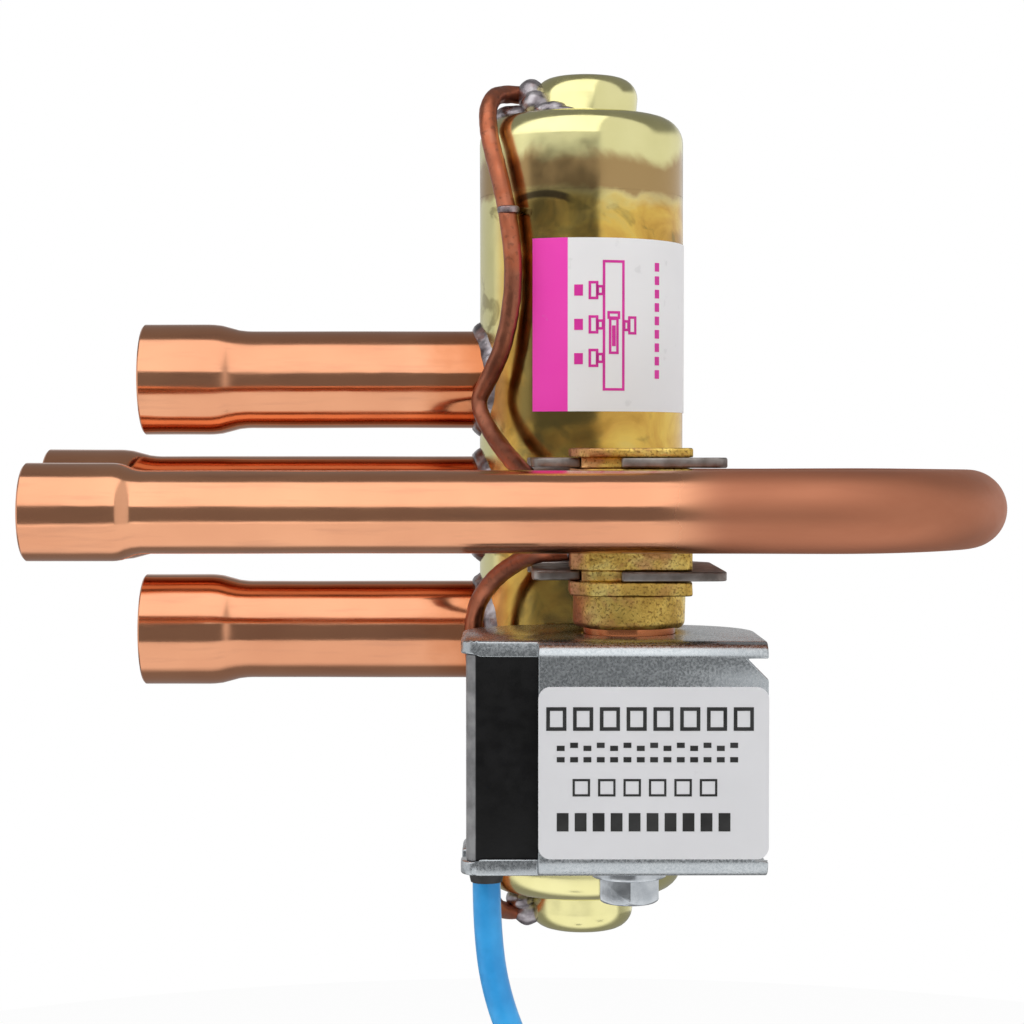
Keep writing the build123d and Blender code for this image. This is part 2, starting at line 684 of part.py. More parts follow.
def make_coil_bobbin():
    """The moulded bobbin that the wire is wound on, sliding over the plunger's tube."""
    low = COIL_BOTTOM + FRAME_SHEET + COIL_FIT
    high = COIL_TOP - FRAME_SHEET - COIL_FIT
    bobbin = post(BOBBIN_BORE + 2 * BOBBIN_WALL, low, high)
    bobbin += post(BOBBIN_FLANGE_OD, low, low + BOBBIN_WALL)
    bobbin += post(BOBBIN_FLANGE_OD, high - BOBBIN_WALL, high)
    return PILOT * (bobbin - post(BOBBIN_BORE, low, high))


def make_coil_winding():
    """The enamelled copper wire, as the one block that it is wound into."""
    low = COIL_BOTTOM + FRAME_SHEET + 2 * COIL_FIT + BOBBIN_WALL
    high = COIL_TOP - FRAME_SHEET - 2 * COIL_FIT - BOBBIN_WALL
    inner = BOBBIN_BORE + 2 * BOBBIN_WALL + 2 * COIL_FIT
    return PILOT * (post(WINDING_OD, low, high) - post(inner, low, high))


def make_coil_bolt():
    """The hexagon-headed bolt that clamps the coil to the core from below."""
    seat = COIL_BOTTOM - SPRING_WASHER - FLAT_WASHER
    head = slab(RegularPolygon(BOLT_ACROSS_FLATS / 2, 6, major_radius=False), seat - BOLT_HEAD, seat)
    corner_r = BOLT_ACROSS_FLATS / 2 / cos(pi / 6)
    dome = turned(
        (0, seat),
        (corner_r, seat),
        (corner_r, seat - BOLT_HEAD + 0.6),
        (corner_r - 0.8, seat - BOLT_HEAD),
        (0, seat - BOLT_HEAD),
    )
    return PILOT * ((head & dome) + post(BOLT_OD, seat, CORE_BOTTOM + BOLT_REACH))


def make_flat_washer():
    """The plain washer under the bolt's head."""
    top = COIL_BOTTOM - SPRING_WASHER
    return PILOT * (post(FLAT_WASHER_OD, top - FLAT_WASHER, top) - post(BOLT_HOLE, top - FLAT_WASHER, top))


def make_spring_washer():
    """The split spring washer between the plain washer and the frame."""
    top = COIL_BOTTOM
    ring = post(SPRING_WASHER_OD, top - SPRING_WASHER, top) - post(BOLT_HOLE, top - SPRING_WASHER, top)
    split = Pos(0, -SPRING_WASHER_OD / 2, top - SPRING_WASHER / 2) * Rot(0, 25, 0) * Box(0.6, 4.0, 3.0)
    return PILOT * (ring - split)


# ---------------------------------------------------------------- labels


def make_body_label():
    """The film label that wraps round the body's front and right."""
    outer = BODY_R + LABEL_SHEET
    sector = Pie(outer, BODY_LABEL_FROM - 90, BODY_LABEL_TO - 90)
    label = slab(sector, BODY_LABEL_BOTTOM, BODY_LABEL_TOP)
    return label - post(BODY_OD, BODY_LABEL_BOTTOM, BODY_LABEL_TOP)


def make_coil_label():
    """The film label on the coil frame's front plate."""
    face = outline(
        (PLATE_LEFT, COIL_LABEL_BOTTOM, COIL_LABEL_ROUND),
        (PLATE_LEFT, COIL_LABEL_TOP, COIL_LABEL_ROUND),
        (FRAME_RIGHT, COIL_LABEL_TOP, COIL_LABEL_ROUND),
        (FRAME_RIGHT, COIL_LABEL_BOTTOM, COIL_LABEL_ROUND),
    )
    return towards_front(face, FRAME_FRONT, LABEL_SHEET)


# ---------------------------------------------------------------- capillaries


PORT_X = PILOT_LEFT + CAPILLARY_SEAT
BOSS_X = -(BOSS_OD / 2 - CAP_WALL)
BOSS_TURN_X = BOSS_X - 3.9


def evaporator_route():
    """From the pilot's upper port, over the evaporator tube and up to the top boss."""
    return [
        (PORT_X, PILOT_Y, PILOT_PORTS[0]),
        (CAPILLARY_X, PILOT_Y, PILOT_PORTS[0]),
        (-8.0, -20.0, 4.4),
        (-11.4, -12.6, 8.6),
        (-13.4, -9.9, 12.4),
        (-11.0, -11.2, 16.2),
        (-8.9, -12.2, 24.0),
        (-8.8, -12.3, 33.0),
        (-10.6, -10.9, 41.0),
        (-12.2, -9.3, 47.6),
        (-11.2, -5.2, 53.0),
        (BOSS_TURN_X, 0.0, BOSS_PORT_Z),
        (BOSS_X, 0.0, BOSS_PORT_Z),
    ]


def condenser_route():
    """From the pilot's lower port, in front of the condenser tube and down to the bottom boss."""
    return [
        (PORT_X, PILOT_Y, PILOT_PORTS[2]),
        (CAPILLARY_X, PILOT_Y, PILOT_PORTS[2]),
        (-7.4, -20.6, -5.9),
        (-11.2, -14.6, -8.6),
        (-14.0, -11.0, -12.6),
        (-14.2, -10.4, -18.0),
        (-12.9, -9.8, -26.0),
        (-12.2, -9.4, -36.0),
        (-12.6, -9.4, -47.4),
        (-11.4, -5.2, -53.2),
        (BOSS_TURN_X, 0.0, -BOSS_PORT_Z),
        (BOSS_X, 0.0, -BOSS_PORT_Z),
    ]


def suction_route():
    """From the pilot's middle port to the front of the suction tube."""
    return [
        (PORT_X, PILOT_Y, PILOT_PORTS[1]),
        (CAPILLARY_X, PILOT_Y, PILOT_PORTS[1]),
        (-10.6, -24.6, -1.3),
        (-16.2, -18.4, -0.5),
        (SUCTION_TAP_X, -12.0, 0.0),
        (SUCTION_TAP_X, -PORT_OD / 2 + PORT_WALL, 0.0),
    ]


def discharge_route():
    """From the pilot's right port to the back of the discharge tube's front run."""
    return [
        (PILOT_RIGHT - CAPILLARY_SEAT, PILOT_Y, PILOT_PORTS[1]),
        (PILOT_RIGHT + 3.1, PILOT_Y, PILOT_PORTS[1]),
        (DISCHARGE_TAP_X, PILOT_Y - 3.3, 0.0),
        (DISCHARGE_TAP_X, FRONT_RUN_Y + DISCHARGE_OD / 2 - DISCHARGE_WALL, 0.0),
    ]


def make_capillary(points):
    """One bent capillary tube."""
    return tube_along(route(points, CAPILLARY_BEND), CAPILLARY_OD, CAPILLARY_BORE)


def braze_cone(place, direction, length):
    """The small cone of filler round a capillary where it enters another piece."""
    wide = CAPILLARY_OD / 2 + FILLET_BRAZE
    cone = Pos(0, 0, length / 2) * Cone(wide, CAPILLARY_OD / 2 + 0.15, length)
    cone -= Pos(0, 0, length / 2) * Cylinder(CAPILLARY_OD / 2, 2 * length)
    return Plane(origin=place, z_dir=direction) * cone


def make_capillary_brazes():
    """Every capillary joint's filler, as separate small solids."""
    length = 1.1
    brazes = []
    boss = post(BOSS_OD, -END_Z, END_Z)
    for side in (-1, 1):
        start = (-BOSS_OD / 2 + 0.5, 0, side * BOSS_PORT_Z)
        brazes.append(braze_cone(start, (-1, 0, 0), length) - boss)
    for height in PILOT_PORTS:
        brazes.append(braze_cone((PILOT_LEFT, PILOT_Y, height), (-1, 0, 0), 1.0))
    brazes.append(braze_cone((PILOT_RIGHT, PILOT_Y, PILOT_PORTS[1]), (1, 0, 0), 1.0))
    suction = bar(PORT_OD, SUCTION_TAP_X - PORT_OD, SUCTION_TAP_X + PORT_OD)
    start = (SUCTION_TAP_X, -PORT_OD / 2 + 0.4, 0)
    brazes.append(braze_cone(start, (0, -1, 0), length) - suction)
    run = bar(DISCHARGE_OD, DISCHARGE_TAP_X - DISCHARGE_OD, DISCHARGE_TAP_X + DISCHARGE_OD, y=FRONT_RUN_Y)
    start = (DISCHARGE_TAP_X, FRONT_RUN_Y + DISCHARGE_OD / 2 - 0.5, 0)
    brazes.append(braze_cone(start, (0, 1, 0), length) - run)
    return Compound(brazes)


# ---------------------------------------------------------------- lead


GROMMET_BOTTOM = COIL_BOTTOM - GROMMET_BELOW
LAYER_Y = LEAD_Y - RING_PITCH / 2  # the layer that the lead joins
BACK_Y = LEAD_Y + RING_PITCH / 2  # the layer that it leaves from


def lead_route():
    """The stretch of lead between the coil and the put-away turns."""
    return [
        (LEAD_X, LEAD_Y, GROMMET_BOTTOM),
        (LEAD_X, LEAD_Y, -49.0),
        (-9.9, -33.4, -57.4),
        (-6.3, -34.2, -65.0),
        (LEAD_ENTRY_X, LAYER_Y, -70.3),
        (LEAD_ENTRY_X, LAYER_Y, RING_Z + STUB),
    ]


def make_lead_grommet():
    """The moulded sleeve that the lead leaves the coil through."""
    top = COIL_BOTTOM + FRAME_SHEET
    sleeve = post(GROMMET_OD, GROMMET_BOTTOM, top)
    return Pos(LEAD_X, LEAD_Y, 0) * sleeve


def make_lead():
    """The hanging stretch of lead."""
    points = lead_route()
    path = route(points)
    tube = tube_along(path, LEAD_OD)
    print("lead radii", [round(r, 1) for r in bend_radii(points, 1000.0)])
    expected = pi * LEAD_OD**2 / 4 * path.length
    print("lead volume", round(tube.volume, 2), "section by length", round(expected, 2))
    return tube


def ring_section(grow):
    """The bundle's cross-section at its place on the ring, grown on every side."""
    half_width = RING_WIDTH / 2 + grow
    half_depth = RING_DEPTH / 2 + grow
    corner = RING_CORNER + grow
    return outline(
        (RING_RADIUS - half_width, -half_depth, corner),
        (RING_RADIUS + half_width, -half_depth, corner),
        (RING_RADIUS + half_width, half_depth, corner),
        (RING_RADIUS - half_width, half_depth, corner),
    )


RING = Pos(RING_X, LEAD_Y, RING_Z)


def make_lead_coil():
    """The put-away turns as one solid, with the straight end that the lead comes in by."""
    ring = RING * revolve(ring_section(0), Axis.Y)
    stub = Pos(LEAD_ENTRY_X, LAYER_Y, 0) * post(LEAD_OD, RING_Z, RING_Z + STUB)
    tail = Pos(LEAD_ENTRY_X, BACK_Y, 0) * post(LEAD_OD, RING_Z - STUB, RING_Z)
    return ring + stub + tail


def make_lead_tie():
    """The band round the bundle, on its far side from the lead."""
    wide = ring_section(TIE_SHEET)
    band = Rot(0, TIE_HALF_ANGLE, 0) * revolve(wide - ring_section(0), Axis.Y, 2 * TIE_HALF_ANGLE)
    return RING * band


def make_lead_tail():
    """The short free end below the turns."""
    start = RING_Z - STUB
    return Pos(LEAD_ENTRY_X, BACK_Y, 0) * post(LEAD_OD, start - TAIL, start)


def make_lead_connector():
    """A plain two-way plug on the free end, with its latch."""
    top = RING_Z - STUB - TAIL
    x = LEAD_ENTRY_X
    housing = block(
        x - PLUG_WIDTH / 2,
        x + PLUG_WIDTH / 2,
        BACK_Y - PLUG_DEPTH / 2,
        BACK_Y + PLUG_DEPTH / 2,
        top - PLUG_LENGTH,
        top,
    )
    housing = fillet(housing.edges().filter_by(Axis.Z), 0.6)
    latch = block(x - 1.5, x + 1.5, BACK_Y - PLUG_DEPTH / 2 - 1.2, BACK_Y - PLUG_DEPTH / 2, top - 9, top - 2)
    for step in (-1, 1):
        socket = Pos(x + step * PLUG_WIDTH / 4, BACK_Y, top - PLUG_LENGTH)
        housing -= socket * Box(2.6, 3.2, 2 * (PLUG_LENGTH - 4))
    return housing + latch


# ---------------------------------------------------------------- all pieces


def make_parts():
    """Every node by its name, drawn about the body's axis."""
    upper_cap = make_end_cap()
    return {
        "valve_body": make_valve_body(),
        "upper_end_cap": upper_cap,
        "lower_end_cap": mirror(upper_cap, Plane.XY),
        "valve_seat": make_valve_seat(),
        "evaporator_tube": make_port_tube(SIDE_REACH, PORT_SOCKET, PORT_HEIGHTS["evaporator"]),
        "suction_tube": make_suction_tube(),
        "condenser_tube": make_port_tube(SIDE_REACH, PORT_SOCKET, PORT_HEIGHTS["condenser"]),
        "discharge_tube": make_discharge_tube(),
        "evaporator_braze": make_saddle(PORT_OD, -1, PORT_HEIGHTS["evaporator"]),
        "suction_braze": make_saddle(PORT_OD, -1, PORT_HEIGHTS["suction"]),
        "condenser_braze": make_saddle(PORT_OD, -1, PORT_HEIGHTS["condenser"]),
        "discharge_braze": make_saddle(DISCHARGE_OD, 1, 0.0),
        "main_slide": make_main_slide(),
        "slide_carrier": make_slide_carrier(),
        "upper_piston": make_piston(1),
        "lower_piston": make_piston(-1),
        "upper_piston_seal": make_piston_seal(1),
        "lower_piston_seal": make_piston_seal(-1),
        "piston_screws": make_piston_screws(),
        "pilot_body": make_pilot_body(),
        "pilot_seat": make_pilot_seat(),
        "pilot_slide": make_pilot_slide(),
        "plunger": make_plunger(),
        "plunger_spring": make_plunger_spring(),
        "pilot_sleeve": make_pilot_sleeve(),
        "fixed_core": make_fixed_core(),
        "pilot_bracket": make_pilot_bracket(),
        "coil_frame": make_coil_frame(),
        "coil_resin": make_coil_resin(),
        "coil_bobbin": make_coil_bobbin(),
        "coil_winding": make_coil_winding(),
        "coil_bolt": make_coil_bolt(),
        "flat_washer": make_flat_washer(),
        "spring_washer": make_spring_washer(),
        "body_label": make_body_label(),
        "coil_label": make_coil_label(),
        "evaporator_capillary": make_capillary(evaporator_route()),
        "suction_capillary": make_capillary(suction_route()),
        "condenser_capillary": make_capillary(condenser_route()),
        "discharge_capillary": make_capillary(discharge_route()),
        "capillary_brazes": make_capillary_brazes(),
        "lead_grommet": make_lead_grommet(),
        "lead": make_lead(),
        "lead_coil": make_lead_coil(),
        "lead_tie": make_lead_tie(),
        "lead_tail": make_lead_tail(),
        "lead_connector": make_lead_connector(),
    }


os.makedirs("parts", exist_ok=True)
for name, shape in make_parts().items():
    export_step(Pos(SUCTION_REACH, 0, 0) * shape, f"parts/{name}.step")
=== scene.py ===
import logging
import math
from dataclasses import dataclass, field, replace
from enum import Enum
from typing import Callable, Sequence

import bpy
from mathutils import Matrix, Vector, noise


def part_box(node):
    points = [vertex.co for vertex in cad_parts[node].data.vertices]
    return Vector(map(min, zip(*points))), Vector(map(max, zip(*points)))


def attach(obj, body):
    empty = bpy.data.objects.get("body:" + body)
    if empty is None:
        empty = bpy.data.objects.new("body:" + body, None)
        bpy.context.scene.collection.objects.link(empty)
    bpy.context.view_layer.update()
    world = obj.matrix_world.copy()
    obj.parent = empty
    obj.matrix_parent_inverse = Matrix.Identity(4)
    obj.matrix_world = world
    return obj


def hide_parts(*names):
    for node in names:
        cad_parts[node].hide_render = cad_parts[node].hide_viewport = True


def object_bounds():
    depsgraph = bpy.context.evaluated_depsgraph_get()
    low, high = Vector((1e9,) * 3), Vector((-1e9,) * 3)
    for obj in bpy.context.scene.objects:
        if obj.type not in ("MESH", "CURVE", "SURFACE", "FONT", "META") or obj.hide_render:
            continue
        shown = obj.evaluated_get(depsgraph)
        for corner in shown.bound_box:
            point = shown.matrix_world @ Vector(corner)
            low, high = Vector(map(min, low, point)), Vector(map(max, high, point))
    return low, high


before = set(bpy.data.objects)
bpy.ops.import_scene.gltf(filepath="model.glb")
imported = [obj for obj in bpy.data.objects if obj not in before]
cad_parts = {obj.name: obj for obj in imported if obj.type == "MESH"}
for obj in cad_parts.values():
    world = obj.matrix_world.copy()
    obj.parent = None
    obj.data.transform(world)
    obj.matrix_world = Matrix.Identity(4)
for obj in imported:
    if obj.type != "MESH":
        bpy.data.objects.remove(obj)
CAD_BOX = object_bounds()

LOG = logging.getLogger("reversing_valve")
MM = 0.001
BODY = "valve"

Point = tuple[float, float, float]
Colour = tuple[float, float, float]
Stops = Sequence[tuple[float, Colour]]
Piece = bpy.types.Object
Material = bpy.types.Material
Value = bpy.types.NodeSocket


class Along(Enum):
    """Which way a turned piece's axis lies."""

    X = "x"
    Z = "z"


# ------------------------------------------------------------------ frame measures


@dataclass(frozen=True)
class Layout:
    """Where things stand in the row frame, in metres, read from the CAD nodes.

    Attributes:
        axis_x: The main body's axis.
        pilot_x: The pilot valve's axis.
        port_pitch: Height between neighbouring ports.
    """

    axis_x: float
    pilot_x: float
    port_pitch: float

    def place(self, x: float, y: float, z: float) -> Point:
        """A place given in millimetres from the body's axis, in metres in the row frame."""
        return (self.axis_x + x * MM, y * MM, z * MM)


def centre(node: str) -> Vector:
    """The middle of a CAD node's box.

    Args:
        node: The node's name.

    Returns:
        The middle point, in metres.
    """
    low, high = (Vector(corner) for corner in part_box(node))
    return (low + high) / 2


def read_layout() -> Layout:
    """Measures the frame's few driving places from the CAD nodes."""
    pitch = centre("evaporator_tube").z - centre("suction_tube").z
    return Layout(centre("valve_body").x, centre("pilot_sleeve").x, pitch)


# ------------------------------------------------------------------ shaders


class Shader:
    """A principled material built node by node from procedural textures."""

    def __init__(self, name: str, metallic: float, roughness: float) -> None:
        """Starts a material.

        Args:
            name: The material's name.
            metallic: 1 for metal, 0 for anything else.
            roughness: The roughness where nothing is linked to it.
        """
        self.material = bpy.data.materials.new(name)
        self.material.use_nodes = True
        self.tree = self.material.node_tree
        self.surface = self.tree.nodes["Principled BSDF"]
        self.surface.inputs["Metallic"].default_value = metallic
        self.surface.inputs["Roughness"].default_value = roughness
        self.coords = self.tree.nodes.new("ShaderNodeTexCoord").outputs["Object"]

    def link(self, source: Value, node: bpy.types.Node, name: str | int) -> None:
        """Joins a socket to a node's input, given by name or number."""
        self.tree.links.new(source, node.inputs[name])

    def stretched(self, scale: Point) -> Value:
        """Object coordinates scaled unevenly, for grain that runs one way."""
        mapping = self.tree.nodes.new("ShaderNodeMapping")
        mapping.inputs["Scale"].default_value = scale
        self.link(self.coords, mapping, "Vector")
        return mapping.outputs["Vector"]

    def clouds(
        self, scale: float, detail: float, coords: Value | None = None, distortion: float = 0.0
    ) -> Value:
        """A noise pattern.

        Args:
            scale: How many features to the metre.
            detail: How many octaves.
            coords: What the pattern lies on, or None for plain object coordinates.
            distortion: How far the pattern is stirred.

        Returns:
            The pattern's value, from 0 to 1.
        """
        texture = self.tree.nodes.new("ShaderNodeTexNoise")
        texture.inputs["Scale"].default_value = scale
        texture.inputs["Detail"].default_value = detail
        texture.inputs["Distortion"].default_value = distortion
        self.link(coords or self.coords, texture, "Vector")
        return texture.outputs["Fac"]

    def axis(self, name: str) -> Value:
        """One object coordinate, X, Y or Z."""
        split = self.tree.nodes.new("ShaderNodeSeparateXYZ")
        self.link(self.coords, split, "Vector")
        return split.outputs[name]

    def span(self, value: Value, start: float, end: float, low: float = 0.0, high: float = 1.0) -> Value:
        """A smooth step of a value.

        Args:
            value: What is read.
            start: Where the step begins.
            end: Where it ends, which may lie below start.
            low: The result at start.
            high: The result at end.

        Returns:
            The stepped value.
        """
        node = self.tree.nodes.new("ShaderNodeMapRange")
        node.interpolation_type = "SMOOTHSTEP"
        (first, bottom), (last, top) = sorted(((start, low), (end, high)))
        node.inputs["From Min"].default_value = first
        node.inputs["From Max"].default_value = last
        node.inputs["To Min"].default_value = bottom
        node.inputs["To Max"].default_value = top
        self.link(value, node, "Value")
        return node.outputs["Result"]

    def sum(self, kind: str, first: Value | float, second: Value | float = 0.0) -> Value:
        """A sum on one or two values or numbers, such as MAXIMUM or ABSOLUTE."""
        node = self.tree.nodes.new("ShaderNodeMath")
        node.operation = kind
        for index, value in enumerate((first, second)):
            if isinstance(value, (int, float)):
                node.inputs[index].default_value = value
            else:
                self.link(value, node, index)
        return node.outputs["Value"]

    def plus(self, first: Value | float, second: Value | float) -> Value:
        """Two values or numbers added."""
        return self.sum("ADD", first, second)

    def minus(self, first: Value | float, second: Value | float) -> Value:
        """One value or number less another."""
        return self.sum("SUBTRACT", first, second)

    def times(self, product: Value, *factors: Value | float) -> Value:
        """A value multiplied by others or by numbers."""
        for factor in factors:
            product = self.sum("MULTIPLY", product, factor)
        return product

    def stir(self, scale: float, detail: float, reach: float, distortion: float = 0.0) -> Value:
        """A pattern centred on zero, which lets a straight edge wander.

        Args:
            scale: How many features to the metre.
            detail: How many octaves.
            reach: From its lowest to its highest value.
            distortion: How far the pattern is stirred.

        Returns:
            The pattern's value.
        """
        return self.times(self.minus(self.clouds(scale, detail, distortion=distortion), 0.5), reach)

    def tones(self, value: Value, stops: Stops) -> Value:
        """A colour ramp over a value."""
        ramp = self.tree.nodes.new("ShaderNodeValToRGB")
        elements = ramp.color_ramp.elements
        while len(elements) < len(stops):
            elements.new(0.5)
        for element, (position, colour) in zip(elements, stops):
            element.position = position
            element.color = (*colour, 1.0)
        self.link(value, ramp, "Fac")
        return ramp.outputs["Color"]

    def blend(self, amount: Value, first: Value, second: Value | Colour) -> Value:
        """Mixes two colours by an amount."""
        node = self.tree.nodes.new("ShaderNodeMix")
        node.data_type = "RGBA"
        self.link(amount, node, 0)
        for index, colour in ((6, first), (7, second)):
            if isinstance(colour, tuple):
                node.inputs[index].default_value = (*colour, 1.0)
            else:
                self.link(colour, node, index)
        return node.outputs[2]

    def colour(self, source: Value) -> None:
        """Sets what the surface's colour comes from."""
        self.link(source, self.surface, "Base Color")

    def roughness(self, value: Value, low: float, high: float) -> None:
        """Spreads the roughness between two figures by a value."""
        self.link(self.span(value, 0.3, 0.7, low, high), self.surface, "Roughness")

    def bumps(self, height: Value, distance: float, strength: float) -> None:
        """Adds relief, one call after another.

        Args:
            height: The relief's height, from 0 to 1.
            distance: How deep it is, in metres.
            strength: How much of it shows.
        """
        node = self.tree.nodes.new("ShaderNodeBump")
        node.inputs["Distance"].default_value = distance
        node.inputs["Strength"].default_value = strength
        self.link(height, node, "Height")
        for link in list(self.surface.inputs["Normal"].links):
            self.link(link.from_socket, node, "Normal")
        self.link(node.outputs["Normal"], self.surface, "Normal")

    def emission(self, strength: Value | None = None) -> Value:
        """White light of a given strength, or of 1."""
        node = self.tree.nodes.new("ShaderNodeEmission")
        if strength is not None:
            self.link(strength, node, "Strength")
        return node.outputs["Emission"]

    def either(self, share: Value, first: Value, second: Value) -> Value:
        """Two finished surfaces mixed by a share."""
        node = self.tree.nodes.new("ShaderNodeMixShader")
        for index, source in enumerate((share, first, second)):
            self.link(source, node, index)
        return node.outputs["Shader"]

    def finish(self, source: Value) -> None:
        """Sets what the material shows in place of its plain surface."""
        self.link(source, self.tree.nodes["Material Output"], "Surface")


@dataclass(frozen=True)
class CopperFinish:
    """Bright drawn copper tube.

    Attributes:
        name: The material's name.
        hot_x: Where along X the heat tint of the joint is strongest, in metres, or None.
        matte_x: Where the annealed, duller stretch begins, or None.
        hot_reach: How far the tint reaches from its strongest place.
        matte_reach: Over what length the tube turns dull.
        deep: The deeper of the two copper tones.
        bright: The brighter one.
        streaks: The fine streaks left by the drawing die.
        scorched: The heat tint.
        annealed: The dull stretch.
    """

    name: str
    hot_x: float | None = None
    matte_x: float | None = None
    hot_reach: float = 0.012
    matte_reach: float = 0.010
    deep: Colour = (0.66, 0.295, 0.165)
    bright: Colour = (0.76, 0.365, 0.205)
    streaks: Colour = (0.50, 0.235, 0.145)
    scorched: Colour = (0.50, 0.155, 0.055)
    annealed: Colour = (0.47, 0.185, 0.105)

    def make(self) -> Material:
        """Builds the material."""
        s = Shader(self.name, 1.0, 0.2)
        tone = s.tones(s.clouds(60, 3), [(0.3, self.deep), (0.7, self.bright)])
        fine = s.clouds(900, 5, s.stretched((0.12, 1.0, 1.0)))
        tone = s.blend(s.span(fine, 0.5, 0.75, 0.0, 0.35), tone, self.streaks)
        x = s.axis("X")
        if self.hot_x is not None:
            near = s.span(s.plus(x, s.stir(160, 4, 0.012)), self.hot_x - self.hot_reach, self.hot_x)
            tone = s.blend(s.times(near, 0.85), tone, self.scorched)
        rough = s.span(s.clouds(420, 4, s.stretched((0.2, 1.0, 1.0))), 0.3, 0.7, 0.10, 0.18)
        if self.matte_x is not None:
            dull = s.span(x, self.matte_x, self.matte_x + self.matte_reach)
            tone = s.blend(s.times(dull, 0.9), tone, self.annealed)
            rough = s.plus(rough, s.times(dull, 0.42))
        s.link(rough, s.surface, "Roughness")
        s.colour(tone)
        s.bumps(s.clouds(1500, 4, s.stretched((0.06, 1.0, 1.0))), 0.000012, 0.5)
        s.bumps(s.clouds(110, 2), 0.00022, 0.35)
        return s.material


@dataclass(frozen=True)
class BrassFinish:
    """The main body's brass: bright at its ends, tinted brown and amber by the brazing, with a painted dark
    reflection down its front and a painted highlight at its left edge.

    Places along X count from the body's axis, in metres.

    Attributes:
        name: The material's name.
        middle_x: The body's axis.
        band_z: How far above and below the middle the brown bands lie.
        painted_reflection_x: Where the painted dark reflection begins and is full at its left, and is full
            and ends at its right.
        arch_x: The middle of the dark arched line.
        arch_drop: How far it lies below the upper band's middle there.
        pale: The bright ends' two tones, also kept at the left edge as a painted highlight.
        amber: The tinted middle's tones.
        band: The brown bands.
        stain: The brown stains of the middle.
        painted_reflection: The painted dark reflection's colour.
        line: The arched line.
    """

    name: str
    middle_x: float
    band_z: float
    # Painted dark reflection: where the dark strip down the front lies along X.
    painted_reflection_x: tuple[float, float, float, float] = (-0.0095, -0.0075, 0.0005, 0.0025)
    arch_x: float = -0.0052
    arch_drop: float = 0.0026
    pale: Stops = ((0.3, (0.74, 0.69, 0.32)), (0.7, (0.83, 0.78, 0.40)))
    amber: Stops = (
        (0.30, (0.36, 0.19, 0.035)),
        (0.46, (0.62, 0.37, 0.08)),
        (0.60, (0.74, 0.50, 0.11)),
        (0.74, (0.66, 0.52, 0.17)),
    )
    band: Colour = (0.36, 0.21, 0.085)
    stain: Colour = (0.22, 0.17, 0.05)
    # Painted dark reflection: the dark strip's colour.
    painted_reflection: Colour = (0.24, 0.18, 0.06)
    line: Colour = (0.05, 0.035, 0.025)

    def banded(self, s: Shader, tone: Value, height: Value) -> Value:
        """Adds the two brown bands, whose edges wander."""
        for sign in (1.0, -1.0):
            side = s.times(height, sign)
            rise = s.span(side, self.band_z - 0.0034, self.band_z - 0.0018)
            fall = s.span(side, self.band_z + 0.0036, self.band_z + 0.0014)
            tone = s.blend(s.times(rise, fall, 0.88), tone, self.band)
        return tone

    def with_painted_reflection(self, s: Shader, tone: Value, middle: Value, wander: Value) -> Value:
        """Adds a painted dark reflection down the front, between the bands, in patches."""
        # Painted dark reflection: the strip stands in for dark surroundings mirrored in the brass.
        start, full, fade, end = (self.middle_x + place for place in self.painted_reflection_x)
        left = s.span(s.axis("X"), start, full)
        right = s.span(s.plus(s.axis("X"), wander), end, fade)
        patchy = s.span(s.clouds(180, 6, distortion=0.7), 0.34, 0.56, 0.25, 0.9)
        return s.blend(s.times(left, middle, right, patchy), tone, self.painted_reflection)

    def arched(self, s: Shader, tone: Value, wander: Value) -> Value:
        """Adds the dark arched line below the upper band."""
        across = s.minus(s.axis("X"), self.middle_x + self.arch_x)
        arch = s.times(across, across, -60.0)
        off = s.sum("ABSOLUTE", s.minus(s.minus(s.axis("Z"), self.band_z - self.arch_drop), arch))
        line = s.span(s.plus(off, s.times(wander, 0.12)), 0.0006, 0.0002)
        reach = s.span(s.sum("ABSOLUTE", across), 0.0040, 0.0026)
        return s.blend(s.times(line, reach, 0.85), tone, self.line)

    def make(self) -> Material:
        """Builds the material."""
        s = Shader(self.name, 1.0, 0.22)
        wander = s.stir(150, 5, 0.006, 0.6)
        height = s.plus(s.axis("Z"), wander)
        middle = s.span(s.sum("ABSOLUTE", height), self.band_z - 0.0015, self.band_z - 0.0045)
        # Painted highlight: the left edge keeps the pale tone instead of the amber, standing in for light
        # from the left.
        painted_left_highlight = s.span(s.axis("X"), self.middle_x - 0.0118, self.middle_x - 0.0095)
        bright = s.tones(s.clouds(90, 3), self.pale)
        amber = s.tones(s.clouds(120, 5, distortion=1.0), self.amber)
        tone = s.blend(s.times(middle, painted_left_highlight), bright, amber)
        tone = self.banded(s, tone, height)
        stain = s.span(s.clouds(230, 5, distortion=0.8), 0.58, 0.70)
        tone = s.blend(s.times(stain, middle, 0.6), tone, self.stain)
        # Painted dark reflection down the front.
        tone = self.with_painted_reflection(s, tone, middle, wander)
        s.colour(self.arched(s, tone, wander))
        s.roughness(s.clouds(260, 5), 0.12, 0.26)
        s.bumps(s.clouds(900, 4, s.stretched((1.0, 1.0, 0.1))), 0.00001, 0.4)
        s.bumps(s.clouds(140, 2), 0.0003, 0.3)
        return s.material


